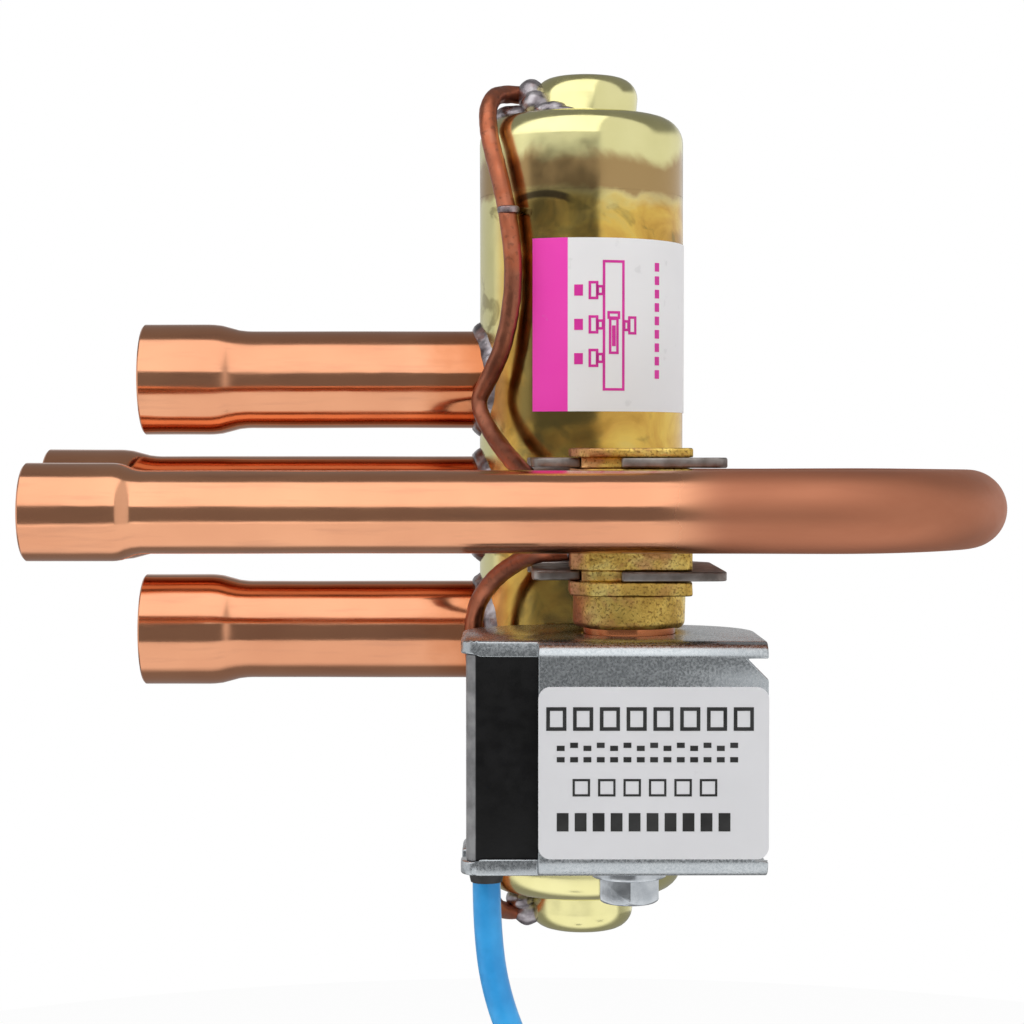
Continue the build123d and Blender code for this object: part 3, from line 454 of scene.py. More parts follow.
@dataclass(frozen=True)
class CapillaryFinish:
    """Thin copper tube, browned and reddened by the torch.

    Attributes:
        name: The material's name.
        heated: Its tones.
        specks: Small dark specks.
    """

    name: str = "heated_capillary"
    heated: Stops = (
        (0.30, (0.22, 0.08, 0.05)),
        (0.48, (0.36, 0.13, 0.075)),
        (0.62, (0.46, 0.14, 0.07)),
        (0.80, (0.50, 0.23, 0.15)),
    )
    specks: Colour = (0.16, 0.07, 0.045)

    def make(self) -> Material:
        """Builds the material."""
        s = Shader(self.name, 1.0, 0.38)
        tone = s.tones(s.clouds(130, 4, distortion=0.4), self.heated)
        s.colour(s.blend(s.span(s.clouds(1400, 4), 0.56, 0.7, 0.0, 0.5), tone, self.specks))
        s.roughness(s.clouds(600, 4), 0.30, 0.50)
        s.bumps(s.clouds(1100, 4), 0.00003, 0.5)
        return s.material


@dataclass(frozen=True)
class BrazeFinish:
    """Silver-grey braze filler, purplish where it oxidised.

    Attributes:
        name: The material's name.
        greys: Its tones.
        copper: Where copper washed into it.
    """

    name: str = "braze_filler"
    greys: Stops = ((0.30, (0.10, 0.085, 0.09)), (0.50, (0.30, 0.27, 0.29)), (0.68, (0.55, 0.52, 0.54)))
    copper: Colour = (0.36, 0.16, 0.12)

    def make(self) -> Material:
        """Builds the material."""
        s = Shader(self.name, 1.0, 0.34)
        tone = s.tones(s.clouds(500, 5, distortion=0.5), self.greys)
        s.colour(s.blend(s.span(s.clouds(240, 3), 0.55, 0.68, 0.0, 0.6), tone, self.copper))
        s.roughness(s.clouds(800, 3), 0.25, 0.5)
        s.bumps(s.clouds(900, 5), 0.00012, 0.8)
        return s.material


@dataclass(frozen=True)
class RoughBrassFinish:
    """The pilot block's brass: cut rough, pitted, with copper-red patches.

    Attributes:
        left_x: The block's left edge, washed with copper, in metres along X.
        name: The material's name.
        golds: Its tones.
        patches: The copper-red patches.
        wash: The copper wash of the left edge.
        pits: The dark pits.
    """

    left_x: float
    name: str = "pilot_block_brass"
    golds: Stops = ((0.32, (0.58, 0.37, 0.085)), (0.50, (0.80, 0.56, 0.14)), (0.70, (0.88, 0.72, 0.25)))
    patches: Colour = (0.52, 0.22, 0.11)
    wash: Colour = (0.46, 0.20, 0.12)
    pits: Colour = (0.24, 0.115, 0.035)

    def make(self) -> Material:
        """Builds the material."""
        s = Shader(self.name, 1.0, 0.36)
        tone = s.tones(s.clouds(260, 5, distortion=0.5), self.golds)
        red = s.span(s.clouds(150, 4, distortion=0.8), 0.50, 0.62)
        tone = s.blend(s.times(red, 0.75), tone, self.patches)
        edge = s.plus(s.axis("X"), s.stir(380, 4, 0.004))
        washed = s.span(edge, self.left_x + 0.0030, self.left_x + 0.0014)
        tone = s.blend(s.times(washed, 0.85), tone, self.wash)
        pitted = s.span(s.clouds(3400, 5), 0.50, 0.66)
        s.colour(s.blend(s.times(pitted, 0.72), tone, self.pits))
        s.roughness(s.clouds(700, 4), 0.34, 0.56)
        s.bumps(s.clouds(2400, 5), 0.00010, 0.9)
        s.bumps(s.clouds(260, 3), 0.0002, 0.5)
        return s.material


@dataclass(frozen=True)
class SteelFinish:
    """Steel or other plain metal in two tones.

    Attributes:
        name: The material's name.
        dark: The darker tone.
        light: The lighter tone.
        rough: The least and the most roughness.
        stain: How strongly brown stains show.
        brown: The stains' colour.
    """

    name: str
    dark: Colour
    light: Colour
    rough: tuple[float, float]
    stain: float = 0.35
    brown: Colour = (0.20, 0.10, 0.07)

    def make(self) -> Material:
        """Builds the material."""
        s = Shader(self.name, 1.0, 0.35)
        tone = s.tones(s.clouds(500, 5), [(0.35, self.dark), (0.65, self.light)])
        stain = s.span(s.clouds(180, 4, distortion=0.8), 0.60, 0.72, 0.0, self.stain)
        s.colour(s.blend(stain, tone, self.brown))
        s.roughness(s.clouds(900, 3), *self.rough)
        s.bumps(s.clouds(2200, 4), 0.00002, 0.5)
        return s.material


@dataclass(frozen=True)
class ZincFinish:
    """Bright zinc plate: bluish, finely speckled.

    Attributes:
        name: The material's name.
        specks: The specks' tones.
        drift: The broad darker drifts.
    """

    name: str = "zinc_plate"
    specks: Stops = ((0.36, (0.40, 0.43, 0.45)), (0.50, (0.48, 0.51, 0.53)), (0.66, (0.57, 0.60, 0.62)))
    drift: Colour = (0.38, 0.41, 0.44)

    def make(self) -> Material:
        """Builds the material."""
        s = Shader(self.name, 1.0, 0.3)
        speck = s.clouds(3600, 3)
        tone = s.tones(speck, self.specks)
        s.colour(s.blend(s.span(s.clouds(120, 3), 0.4, 0.7, 0.0, 0.35), tone, self.drift))
        s.roughness(speck, 0.20, 0.34)
        s.bumps(speck, 0.00002, 0.3)
        s.bumps(s.clouds(200, 2), 0.0002, 0.25)
        return s.material


@dataclass(frozen=True)
class MouldedFinish:
    """Moulded plastic or resin.

    Attributes:
        name: The material's name.
        dark: The darker tone.
        light: The lighter tone.
        rough: The least and the most roughness.
        relief: The depth of the mould's grain, in metres.
        painted_sheen_x: Where the painted grey sheen along the left edge ends along X, in metres, or None.
        gloss: How strongly the surface reflects, 0.5 being usual.
        sheen_greys: The painted sheen's greys.
    """

    name: str
    dark: Colour
    light: Colour
    rough: tuple[float, float]
    relief: float = 0.00002
    painted_sheen_x: float | None = None
    gloss: float = 0.5
    sheen_greys: Stops = ((0.35, (0.19, 0.19, 0.195)), (0.65, (0.32, 0.32, 0.325)))

    def make(self) -> Material:
        """Builds the material."""
        s = Shader(self.name, 0.0, 0.4)
        s.surface.inputs["Specular IOR Level"].default_value = self.gloss
        tone = s.tones(s.clouds(300, 4), [(0.35, self.dark), (0.65, self.light)])
        # Painted sheen: the left edge is greyed as if it caught the light.
        if self.painted_sheen_x is not None:
            grey = s.tones(s.clouds(500, 5), self.sheen_greys)
            tone = s.blend(s.span(s.axis("X"), self.painted_sheen_x + 0.0001, self.painted_sheen_x - 0.0001), tone, grey)
        s.colour(tone)
        s.roughness(s.clouds(700, 4), *self.rough)
        s.bumps(s.clouds(2600, 4), self.relief, 0.6)
        return s.material


@dataclass(frozen=True)
class FilmFinish:
    """Printed label film: one field of colour, and a band of another at its left.

    Attributes:
        name: The material's name.
        main: The main field.
        band: The band at its left, or None.
        band_x: Where the band ends, in metres along X.
        scuffs: Faint grey scuffs.
    """

    name: str
    main: Colour
    band: Colour | None = None
    band_x: float = 0.0
    scuffs: Colour = (0.45, 0.45, 0.46)

    def make(self) -> Material:
        """Builds the material."""
        s = Shader(self.name, 0.0, 0.38)
        shaded = tuple(0.96 * part for part in self.main)
        tone = s.tones(s.clouds(90, 3), [(0.3, shaded), (0.7, self.main)])
        if self.band is not None:
            left = s.span(s.axis("X"), self.band_x + 0.00004, self.band_x - 0.00004)
            tone = s.blend(left, tone, self.band)
        s.colour(s.blend(s.span(s.clouds(420, 5), 0.66, 0.74, 0.0, 0.18), tone, self.scuffs))
        s.roughness(s.clouds(500, 3), 0.32, 0.46)
        s.bumps(s.clouds(160, 3), 0.00006, 0.4)
        return s.material


# ------------------------------------------------------------------ modelling


def clear_selection() -> None:
    bpy.ops.object.select_all(action="DESELECT")


def edit(piece: Piece) -> None:
    """Opens one piece for editing with nothing else selected."""
    clear_selection()
    piece.select_set(True)
    bpy.context.view_layer.objects.active = piece
    bpy.ops.object.mode_set(mode="EDIT")


def settle(piece: Piece, smooth_angle: float = 35.0) -> Piece:
    """Merges doubles, turns faces outwards, puts the place into the mesh and smooths the shading.

    Args:
        piece: The piece, in object mode.
        smooth_angle: Edges flatter than this, in degrees, are shaded smooth.

    Returns:
        The same piece.
    """
    edit(piece)
    bpy.ops.mesh.select_all(action="SELECT")
    bpy.ops.mesh.remove_doubles(threshold=0.000002)
    bpy.ops.mesh.normals_make_consistent(inside=False)
    bpy.ops.object.mode_set(mode="OBJECT")
    bpy.ops.object.transform_apply(location=True, rotation=True, scale=True)
    bpy.ops.object.shade_smooth_by_angle(angle=math.radians(smooth_angle))
    return piece


def rounded(corners: Sequence[Sequence[float]], steps: int = 7) -> list[tuple[float, float]]:
    """A profile whose corners are replaced by arcs.

    Args:
        corners: (u, v) or (u, v, radius) of each corner, in order.
        steps: How many points each arc gets.

    Returns:
        The profile's points.
    """
    points: list[tuple[float, float]] = []
    for index, corner in enumerate(corners):
        here = Vector(corner[:2])
        radius = corner[2] if len(corner) > 2 else 0.0
        if radius == 0.0 or index in (0, len(corners) - 1):
            points.append(tuple(here))
            continue
        back = (Vector(corners[index - 1][:2]) - here).normalized()
        ahead = (Vector(corners[index + 1][:2]) - here).normalized()
        half = back.angle(ahead) / 2
        middle = here + (back + ahead).normalized() * (radius / math.sin(half))
        start = here + back * (radius / math.tan(half)) - middle
        turn = start.angle_signed(here + ahead * (radius / math.tan(half)) - middle)
        for step in range(steps):
            swung = Matrix.Rotation(-turn * step / (steps - 1), 2) @ start
            points.append(tuple(middle + swung))
    return points


def turned(
    name: str,
    profile: Sequence[tuple[float, float]],
    place: Point,
    along: Along = Along.Z,
    segments: int = 160,
) -> Piece:
    """Turns a profile on a lathe: a ring is extruded and resized from point to point.

    Args:
        name: The piece's name.
        profile: (radius, distance along the axis) of each ring, in millimetres.
        place: Where the axis's zero stands, in metres.
        along: Which way the axis lies.
        segments: How many sides the ring has.

    Returns:
        The piece, not yet dressed.
    """
    radius, height = profile[0]
    clear_selection()
    bpy.ops.mesh.primitive_circle_add(vertices=segments, radius=radius * MM, location=(0, 0, height * MM))
    piece = bpy.context.object
    piece.name = name
    bpy.ops.object.mode_set(mode="EDIT")
    bpy.ops.mesh.select_all(action="SELECT")
    for next_radius, next_height in profile[1:]:
        rise = (next_height - height) * MM
        ratio = next_radius / radius
        bpy.ops.mesh.extrude_region_move(TRANSFORM_OT_translate={"value": (0, 0, rise)})
        bpy.ops.transform.resize(value=(ratio, ratio, 1), center_override=(0, 0, next_height * MM))
        radius, height = max(next_radius, 0.0001), next_height
    bpy.ops.object.mode_set(mode="OBJECT")
    bpy.ops.object.transform_apply(location=True, rotation=True, scale=True)
    if along is Along.X:
        piece.rotation_euler = (0, math.pi / 2, 0)
    piece.location = place
    return settle(piece)


def push_out(piece: Piece, swells: float, depth: float, seed: float) -> None:
    """Moves a piece's points along their normals by smooth noise, as handling and heat leave metal.

    Args:
        piece: The piece.
        swells: How many swells to the metre.
        depth: The furthest move, in metres.
        seed: Where in the noise to look.
    """
    mesh = piece.data
    offset = Vector((seed, 2 * seed, 3 * seed))
    moves = [v.normal * depth * noise.noise(v.co * swells + offset) for v in mesh.vertices]
    for vertex, move in zip(mesh.vertices, moves):
        vertex.co += move


def dress(piece: Piece, material: Material, nodes: Sequence[str] = ()) -> None:
    """Gives a piece its material and the CAD nodes that it stands for, on the valve's body.

    Args:
        piece: The piece, finished in shape.
        material: Its material.
        nodes: The CAD nodes that it replaces.
    """
    piece.data.materials.clear()
    piece.data.materials.append(material)
    if nodes:
        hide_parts(*nodes)
    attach(piece, BODY)
    LOG.info("%s rides on %s and stands for %s", piece.name, BODY, ", ".join(nodes) or "nothing")


def paint(material: Material, *nodes: str) -> None:
    """Gives CAD nodes that stay shown a procedural material."""
    for node in nodes:
        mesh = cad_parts[node].data
        mesh.materials.clear()
        mesh.materials.append(material)
        LOG.info("%s keeps its CAD shape with %s", node, material.name)


def wire(name: str, points: Sequence[Point], diameter: float, order: int = 3) -> Piece:
    """A smooth round curve through given control points.

    Args:
        name: The piece's name.
        points: The control points, in metres.
        diameter: In metres.
        order: The spline's order.

    Returns:
        The curve's object.
    """
    curve = bpy.data.curves.new(name, "CURVE")
    curve.dimensions = "3D"
    spline = curve.splines.new("NURBS")
    spline.points.add(len(points) - 1)
    for knot, point in zip(spline.points, points):
        knot.co = (*point, 1.0)
    spline.order_u = order
    spline.use_endpoint_u = True
    spline.resolution_u = 12
    curve.bevel_depth = diameter / 2
    curve.bevel_resolution = 7
    curve.use_fill_caps = True
    piece = bpy.data.objects.new(name, curve)
    bpy.context.collection.objects.link(piece)
    return piece


def as_mesh(piece: Piece) -> Piece:
    """Turns a curve into a mesh and settles it."""
    clear_selection()
    piece.select_set(True)
    bpy.context.view_layer.objects.active = piece
    bpy.ops.object.convert(target="MESH")
    return settle(bpy.context.object, 50)


# ------------------------------------------------------------------ view and light


@dataclass(frozen=True)
class Studio:
    """The camera, the lighting tent and the floor.

    The tent's thresholds are shares of its radius, as (where a step begins, where it is full).

    Attributes:
        layout: The frame's driving places.
        camera_offset: The camera from the body's axis, in millimetres.
        lens: Focal length, in millimetres.
        pitch: How far the camera looks down, in degrees.
        tent_radius: In metres.
        upper_panel: Heights of the panel above.
        lower_panel: Heights of the panel below.
        front: Depths from which the panels are lit, towards the camera.
        right_flank: The right side's soft light, along X.
        left_flank: The same at the left.
        steep: Heights at which the rear of the tent turns dark.
        rear: Depths of the weak light behind, and its strength.
        panel_level: How much brighter than the gap the panels above and below are.
        flank_level: The same for the sides.
        gap_level: The light from the dark gap between the panels.
        floor_radius: In metres.
        floor_drop: How far the floor lies below the lowest piece, in metres.
        floor_glow: The floor's light in mirrored surfaces, behind the part and before it.
        floor_white: How much of the floor the camera sees as plain white.
    """

    layout: Layout
    camera_offset: Point = (-9.1, -300.0, 6.5)
    lens: float = 80.15
    pitch: float = 1.43
    tent_radius: float = 1.4
    upper_panel: tuple[float, float] = (0.23, 0.30)
    lower_panel: tuple[float, float] = (-0.38, -0.46)
    front: tuple[float, float] = (0.03, -0.05)
    right_flank: tuple[float, float] = (0.26, 0.36)
    left_flank: tuple[float, float] = (-0.80, -0.92)
    steep: tuple[float, float] = (0.25, 0.45)
    rear: tuple[float, float, float] = (0.1, 0.5, 0.35)
    panel_level: float = 1.34
    flank_level: float = 0.64
    gap_level: float = 0.25
    floor_radius: float = 0.26
    floor_drop: float = 0.002
    floor_glow: tuple[float, float] = (0.3, 1.15)
    floor_white: float = 0.94

    def place_camera(self) -> None:
        """Stands the camera before the valve and a little left of its axis."""
        data = bpy.data.cameras.new("camera")
        data.lens = self.lens
        data.sensor_width = 36.0
        data.clip_start = 0.01
        camera = bpy.data.objects.new("camera", data)
        camera.location = self.layout.place(*self.camera_offset)
        camera.rotation_euler = (math.radians(90 - self.pitch), 0, 0)
        bpy.context.collection.objects.link(camera)
        bpy.context.scene.camera = camera

    def set_world(self) -> None:
        """A white backdrop, at full strength for the camera, mirrors and glass."""
        world = bpy.data.worlds.new("studio")
        bpy.context.scene.world = world
        world.use_nodes = True
        tree = world.node_tree
        path = tree.nodes.new("ShaderNodeLightPath")
        clear = path.outputs["Is Camera Ray"]
        for kind in ("Is Glossy Ray", "Is Transmission Ray"):
            either = tree.nodes.new("ShaderNodeMath")
            either.operation = "MAXIMUM"
            tree.links.new(clear, either.inputs[0])
            tree.links.new(path.outputs[kind], either.inputs[1])
            clear = either.outputs["Value"]
        strength = tree.nodes.new("ShaderNodeMapRange")
        strength.inputs["To Min"].default_value = 0.9
        strength.inputs["To Max"].default_value = 1.0
        tree.links.new(clear, strength.inputs["Value"])
        background = tree.nodes["Background"]
        background.inputs["Color"].default_value = (1, 1, 1, 1)
        tree.links.new(strength.outputs["Result"], background.inputs["Strength"])

    def tent_light(self) -> Material:
        """Broad panels above and below the front, weaker sides, and grey between them."""
        s = Shader("tent_light", 0.0, 0.5)
        x, y, z = s.axis("X"), s.axis("Y"), s.axis("Z")

        def step(value: Value, places: tuple[float, float]) -> Value:
            """A smooth step between two shares of the tent's radius."""
            return s.span(value, places[0] * self.tent_radius, places[1] * self.tent_radius)

        front, right = step(y, self.front), step(x, self.right_flank)
        panel = s.sum("MAXIMUM", step(z, self.upper_panel), step(z, self.lower_panel))
        panel = s.times(panel, front, self.panel_level, s.minus(1.0, right))
        flank = s.times(s.sum("MAXIMUM", right, step(x, self.left_flank)), self.flank_level)
        rear = s.times(step(y, self.rear[:2]), self.rear[2])
        steep = s.times(step(s.sum("ABSOLUTE", z), self.steep), s.minus(1.0, front))
        around = s.times(s.sum("MAXIMUM", flank, rear), s.minus(1.0, steep))
        s.finish(s.emission(s.plus(s.sum("MAXIMUM", panel, around), self.gap_level)))
        return s.material

    def hang_tent(self) -> None:
        """A round tent of soft light that the camera looks through."""
        clear_selection()
        bpy.ops.mesh.primitive_uv_sphere_add(
            segments=96, ring_count=48, radius=self.tent_radius, location=(self.layout.axis_x, 0, 0)
        )
        tent = bpy.context.object
        tent.name = "light_tent"
        bpy.ops.object.shade_smooth()
        tent.data.materials.append(self.tent_light())
        tent.visible_camera = False

    def pale_floor(self) -> Material:
        """Pale and dull, white to the camera, and lit before the part in mirrored surfaces."""
        s = Shader("pale_floor", 0.0, 0.9)
        s.surface.inputs["Base Color"].default_value = (0.9, 0.9, 0.9, 1)
        path = s.tree.nodes.new("ShaderNodeLightPath")
        glow = s.emission(s.span(s.axis("Y"), 0.015, -0.02, *self.floor_glow))
        mirrored = s.either(path.outputs["Is Glossy Ray"], s.surface.outputs["BSDF"], glow)
        share = s.times(path.outputs["Is Camera Ray"], self.floor_white)
        s.finish(s.either(share, mirrored, s.emission()))
        return s.material

    def lay_floor(self) -> None:
        """A round floor just below the lowest piece, which keeps a faint shadow."""
        clear_selection()
        low = CAD_BOX[0][2] - self.floor_drop
        bpy.ops.mesh.primitive_circle_add(
            vertices=96, radius=self.floor_radius, fill_type="NGON", location=(self.layout.axis_x, 0, low)
        )
        floor = bpy.context.object
        floor.name = "floor"
        floor.data.materials.append(self.pale_floor())

    def build(self) -> None:
        """Sets up the whole studio."""
        bpy.context.scene.view_settings.view_transform = "Standard"
        self.place_camera()
        self.set_world()
        self.hang_tent()
        self.lay_floor()


# ------------------------------------------------------------------ drawn tubes


class Drawn:
    """A ring of points drawn out into a surface by extruding, resizing and spinning it."""

    def __init__(self, name: str, radius: float, start: Point, heading: Point, segments: int = 128) -> None:
        """Lays the first ring.

        Args:
            name: The piece's name.
            radius: The ring's radius, in millimetres.
            start: Its middle, in metres.
            heading: The way it is drawn, as a unit vector.
            segments: How many points it has.
        """
        clear_selection()
        turn = Vector((0, 0, 1)).rotation_difference(Vector(heading)).to_euler()
        bpy.ops.mesh.primitive_circle_add(
            vertices=segments, radius=radius * MM, location=start, rotation=turn
        )
        self.piece = bpy.context.object
        self.piece.name = name
        bpy.ops.object.transform_apply(location=True, rotation=True, scale=True)
        bpy.ops.object.mode_set(mode="EDIT")
        bpy.ops.mesh.select_all(action="SELECT")
        self.radius = radius
        self.place = Vector(start)
        self.heading = Vector(heading)

    def on(self, distance: float, radius: float | None = None, steps: int = 1) -> "Drawn":
        """Draws the ring on along its heading, or back where the distance is negative.

        Args:
            distance: How far, in millimetres.
            radius: The radius at the end, or None to keep it.
            steps: How many rings the run is divided into.

        Returns:
            The same surface, for the next move.
        """
        final = self.radius if radius is None else radius
        growth = (final - self.radius) / steps
        along = [abs(round(part)) for part in self.heading]
        for _ in range(steps):
            move = self.heading * (distance * MM / steps)
            self.place += move
            bpy.ops.mesh.extrude_region_move(TRANSFORM_OT_translate={"value": move})
            ratio = (self.radius + growth) / self.radius
            scale = [1.0 if part else ratio for part in along]
            bpy.ops.transform.resize(value=scale, center_override=self.place)
            self.radius += growth
        return self

    def through(self, profile: Sequence[tuple[float, float]]) -> "Drawn":
        """Draws the ring through (distance, radius) stations measured from where it stands now."""
        done = 0.0
        for distance, radius in profile:
            self.on(distance - done, radius)
            done = distance
        return self

    def bend(self, pivot: Point, degrees: float, steps: int = 56) -> "Drawn":
        """Spins the ring about an upright line through the pivot."""
        bpy.ops.mesh.spin(steps=steps, angle=-math.radians(degrees), center=pivot, axis=(0, 0, 1))
        swing = Matrix.Rotation(math.radians(degrees), 3, "Z")
        self.place = swing @ (self.place - Vector(pivot)) + Vector(pivot)
        self.heading = swing @ self.heading
        return self

    def close(self) -> Piece:
        """Fills the two open rings and settles the piece."""
        bpy.ops.mesh.edge_face_add()
        bpy.ops.mesh.select_all(action="DESELECT")
        bpy.ops.mesh.select_mode(type="EDGE")
        bpy.ops.mesh.select_non_manifold()
        bpy.ops.mesh.edge_face_add()
        bpy.ops.mesh.select_mode(type="VERT")
        bpy.ops.object.mode_set(mode="OBJECT")
        return settle(self.piece)


# A socket's flare, as (share of its length, share of its swell).
FLARE = ((0.12, 0.03), (0.3, 0.16), (0.5, 0.5), (0.7, 0.84), (0.88, 0.97), (1.0, 1.0))


@dataclass(frozen=True)
class Socket:
    """A swaged tube end, in millimetres.

    Attributes:
        tube_r: The tube's outer radius.
        wall: Its wall.
        bore_r: The socket's inner radius.
        length: The socket's straight length.
        flare: The length over which the bore widens into it.
        sweep: The length over which the outside widens, by the shares in FLARE.
        edge: How far the mouth's edges are broken.
    """

    tube_r: float
    wall: float
    bore_r: float
    length: float
    flare: float
    sweep: float
    edge: float = 0.22

    def draw(self, tube: Drawn, plain: float, depth: float) -> Piece:
        """Draws the plain tube, its flare and the socket, and goes back inside.

        Args:
            tube: The surface so far, at the tube's radius.
            plain: How long the plain run is before the flare.
            depth: How far the bore is drawn back inside the tube.

        Returns:
            The finished tube.
        """
        outer = self.bore_r + self.wall
        tube.on(plain, steps=max(2, round(plain / 2)))
        swell = outer - self.tube_r
        tube.through([(self.sweep * along, self.tube_r + swell * share) for along, share in FLARE])
        edge = self.edge
        tube.on(self.length + self.flare - self.sweep - edge, steps=5)
        tube.on(edge, outer - edge)
        tube.on(0.0, self.bore_r + edge)
        tube.on(-edge, self.bore_r)
        tube.on(edge - self.length)
        tube.on(-self.flare, self.tube_r - self.wall)
        tube.on(-depth)
        return tube.close()


# A braze collar's section, as (reach out from the tube, rise off the body), in millimetres.
BEAD = (
    (0.0, -0.8),
    (0.0, 1.0),
    (0.35, 0.98),
    (0.7, 0.72),
    (1.0, 0.32),
    (1.3, -0.1),
    (1.3, -0.8),
    (0.0, -0.8),
)


@dataclass
class Tubing:
    """The four copper tubes and the braze collars where they enter the body.

    Attributes:
        layout: The frame's driving places.
        half_inch: The three left tubes' sockets.
        suction_length: The suction tube's longer socket.
        discharge: The front tube's socket.
        body_r: The body's outer radius, in millimetres.
        bend_r: The radius of the discharge tube's bend.
        bend_x: Its middle, from the body's axis.
        inner_end: Where the tubes end inside the body, from its axis.
        discharge_bore: How far the front tube's bore is drawn back.
        stop: How much of a left tube's inner end is solid.
        bead_grip: How far a collar's filler, outlined by BEAD, reaches into its tube.
    """

    layout: Layout
    half_inch: Socket = Socket(6.35, 0.8, 6.43, 11.4, 2.8, 5.6)
    suction_length: float = 12.2
    discharge: Socket = Socket(4.76, 0.8, 4.81, 10.4, 3.2, 3.6)
    body_r: float = 13.3
    bend_r: float = 20.0
    bend_x: float = 26.4
    inner_end: float = 9.5
    discharge_bore: float = 30.0
    stop: float = 0.5
    bead_grip: float = 0.15

    def port(self, name: str, height: float, node: str, copper: Material) -> None:
        """One of the three left tubes, as long as its CAD node."""
        low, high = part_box(node)
        length = (high[0] - low[0]) / MM
        socket = self.half_inch
        if node == "suction_tube":
            socket = replace(socket, length=self.suction_length)
        start = self.layout.place(-self.inner_end, 0, height)
        tube = Drawn(name, socket.tube_r, start, (-1, 0, 0))
        plain = length - socket.length - socket.flare
        piece = socket.draw(tube, plain, plain - self.stop)
        push_out(piece, swells=70, depth=0.00005, seed=height + 3)
        dress(piece, copper, [node])

    def discharge_tube(self, copper: Material) -> None:
        """The front tube: out of the body's right side, round the bend and back past the front."""
        low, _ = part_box("discharge_tube")
        mouth = (low[0] - self.layout.axis_x) / MM
        start = self.layout.place(self.inner_end, 0, 0)
        tube = Drawn("discharge_tube_copper", self.discharge.tube_r, start, (1, 0, 0))
        tube.on(self.bend_x - self.inner_end, steps=6)
        tube.bend(self.layout.place(self.bend_x, -self.bend_r, 0), -180)
        plain = self.bend_x - mouth - self.discharge.length - self.discharge.flare
        piece = self.discharge.draw(tube, plain, self.discharge_bore)
        push_out(piece, swells=60, depth=0.00006, seed=11)
        dress(piece, copper, ["discharge_tube"])

    def collar(self, node: str, tube_r: float, side: int, height: float, filler: Material) -> None:
        """A braze fillet that follows the body's curve round a tube.

        Args:
            node: The CAD collar that it replaces.
            tube_r: The tube's radius, in millimetres.
            side: -1 at the body's left, 1 at its right.
            height: The tube's height.
            filler: The braze material.
        """
        inner = tube_r - self.bead_grip
        heights = [(inner + reach, side * (self.body_r + rise)) for reach, rise in BEAD]
        piece = turned(f"{node}_bead", heights, self.layout.place(0, 0, height), Along.X)
        for vertex in piece.data.vertices:
            across = min(abs(vertex.co.y) / MM, self.body_r)
            vertex.co.x -= side * (self.body_r - math.sqrt(self.body_r**2 - across**2)) * MM
        push_out(piece, swells=700, depth=0.00022, seed=height + side)
        dress(piece, filler, [node])

    def build(self, port: Material, front: Material, filler: Material) -> None:
        """Makes every tube and collar."""
        pitch = self.layout.port_pitch / MM
        for node, height in (("evaporator", pitch), ("suction", 0.0), ("condenser", -pitch)):
            self.port(f"{node}_tube_copper", height, f"{node}_tube", port)
            self.collar(f"{node}_braze", self.half_inch.tube_r, -1, height, filler)
        self.discharge_tube(front)
        self.collar("discharge_braze", self.discharge.tube_r, 1, 0.0, filler)


# ------------------------------------------------------------------ body


@dataclass
class Body:
    """The main body's tube and its two drawn end caps, in millimetres.

    Attributes:
        layout: The frame's driving places.
        radius: The outer radius.
        bore_r: The inner radius.
        seam: Half the height between the caps' seams.
        shoulder: Height of a cap's shoulder.
        end: Height of a cap's end.
        boss_r: The radius of the boss on a cap.
        boss_shift: How far the upper boss stands off the axis, towards +X.
        shoulder_round: The radius of the shoulder's edge.
        foot_round: The radius where the boss rises.
        boss_round: The radius of the boss's edge.
        foot: How much wider the boss is at its foot.
    """

    layout: Layout
    radius: float = 13.3
    bore_r: float = 11.8
    seam: float = 40.0
    shoulder: float = 50.4
    end: float = 55.7
    boss_r: float = 6.75
    boss_shift: float = 0.55
    shoulder_round: float = 3.4
    foot_round: float = 0.6
    boss_round: float = 2.7
    foot: float = 0.1

    def weather(self, piece: Piece) -> None:
        """Leaves the tube and its caps with one slight unevenness, so that they meet at the seams."""
        push_out(piece, swells=60, depth=0.00009, seed=5)

    def shell(self, brass: Material) -> None:
        """The tube, with the slight unevenness that brazing leaves."""
        rings = 40
        outer = [(self.radius, self.seam * (2 * step / rings - 1)) for step in range(rings + 1)]
        profile = [*outer, (self.bore_r, self.seam), (self.bore_r, -self.seam), outer[0]]
        piece = turned("body_shell", profile, self.layout.place(0, 0, 0), segments=192)
        self.weather(piece)
        dress(piece, brass, ["valve_body"])

    def cap(self, name: str, node: str, side: int, brass: Material) -> None:
        """One end cap, rolled over at its shoulder and drawn up into a boss."""
        outline = rounded(
            [
                (self.bore_r, self.seam),
                (self.radius, self.seam),
                (self.radius, self.shoulder, self.shoulder_round),
                (self.boss_r + self.foot, self.shoulder, self.foot_round),
                (self.boss_r, self.end, self.boss_round),
                (0.0, self.end),
            ],
            9,
        )
        profile = [(radius, side * height) for radius, height in outline]
        piece = turned(name, profile, self.layout.place(0, 0, 0), segments=192)
        for vertex in piece.data.vertices:
            lift = side * vertex.co.z / MM - self.shoulder
            vertex.co.x += self.boss_shift * max(side, 0) * min(max(lift, 0.0), 1.0) * MM
        self.weather(piece)
        dress(piece, brass, [node])

    def build(self, brass: Material) -> None:
        """Makes the tube and both caps."""
        self.shell(brass)
        self.cap("upper_cap_shell", "upper_end_cap", 1, brass)
        self.cap("lower_cap_shell", "lower_end_cap", -1, brass)


# ------------------------------------------------------------------ capillaries


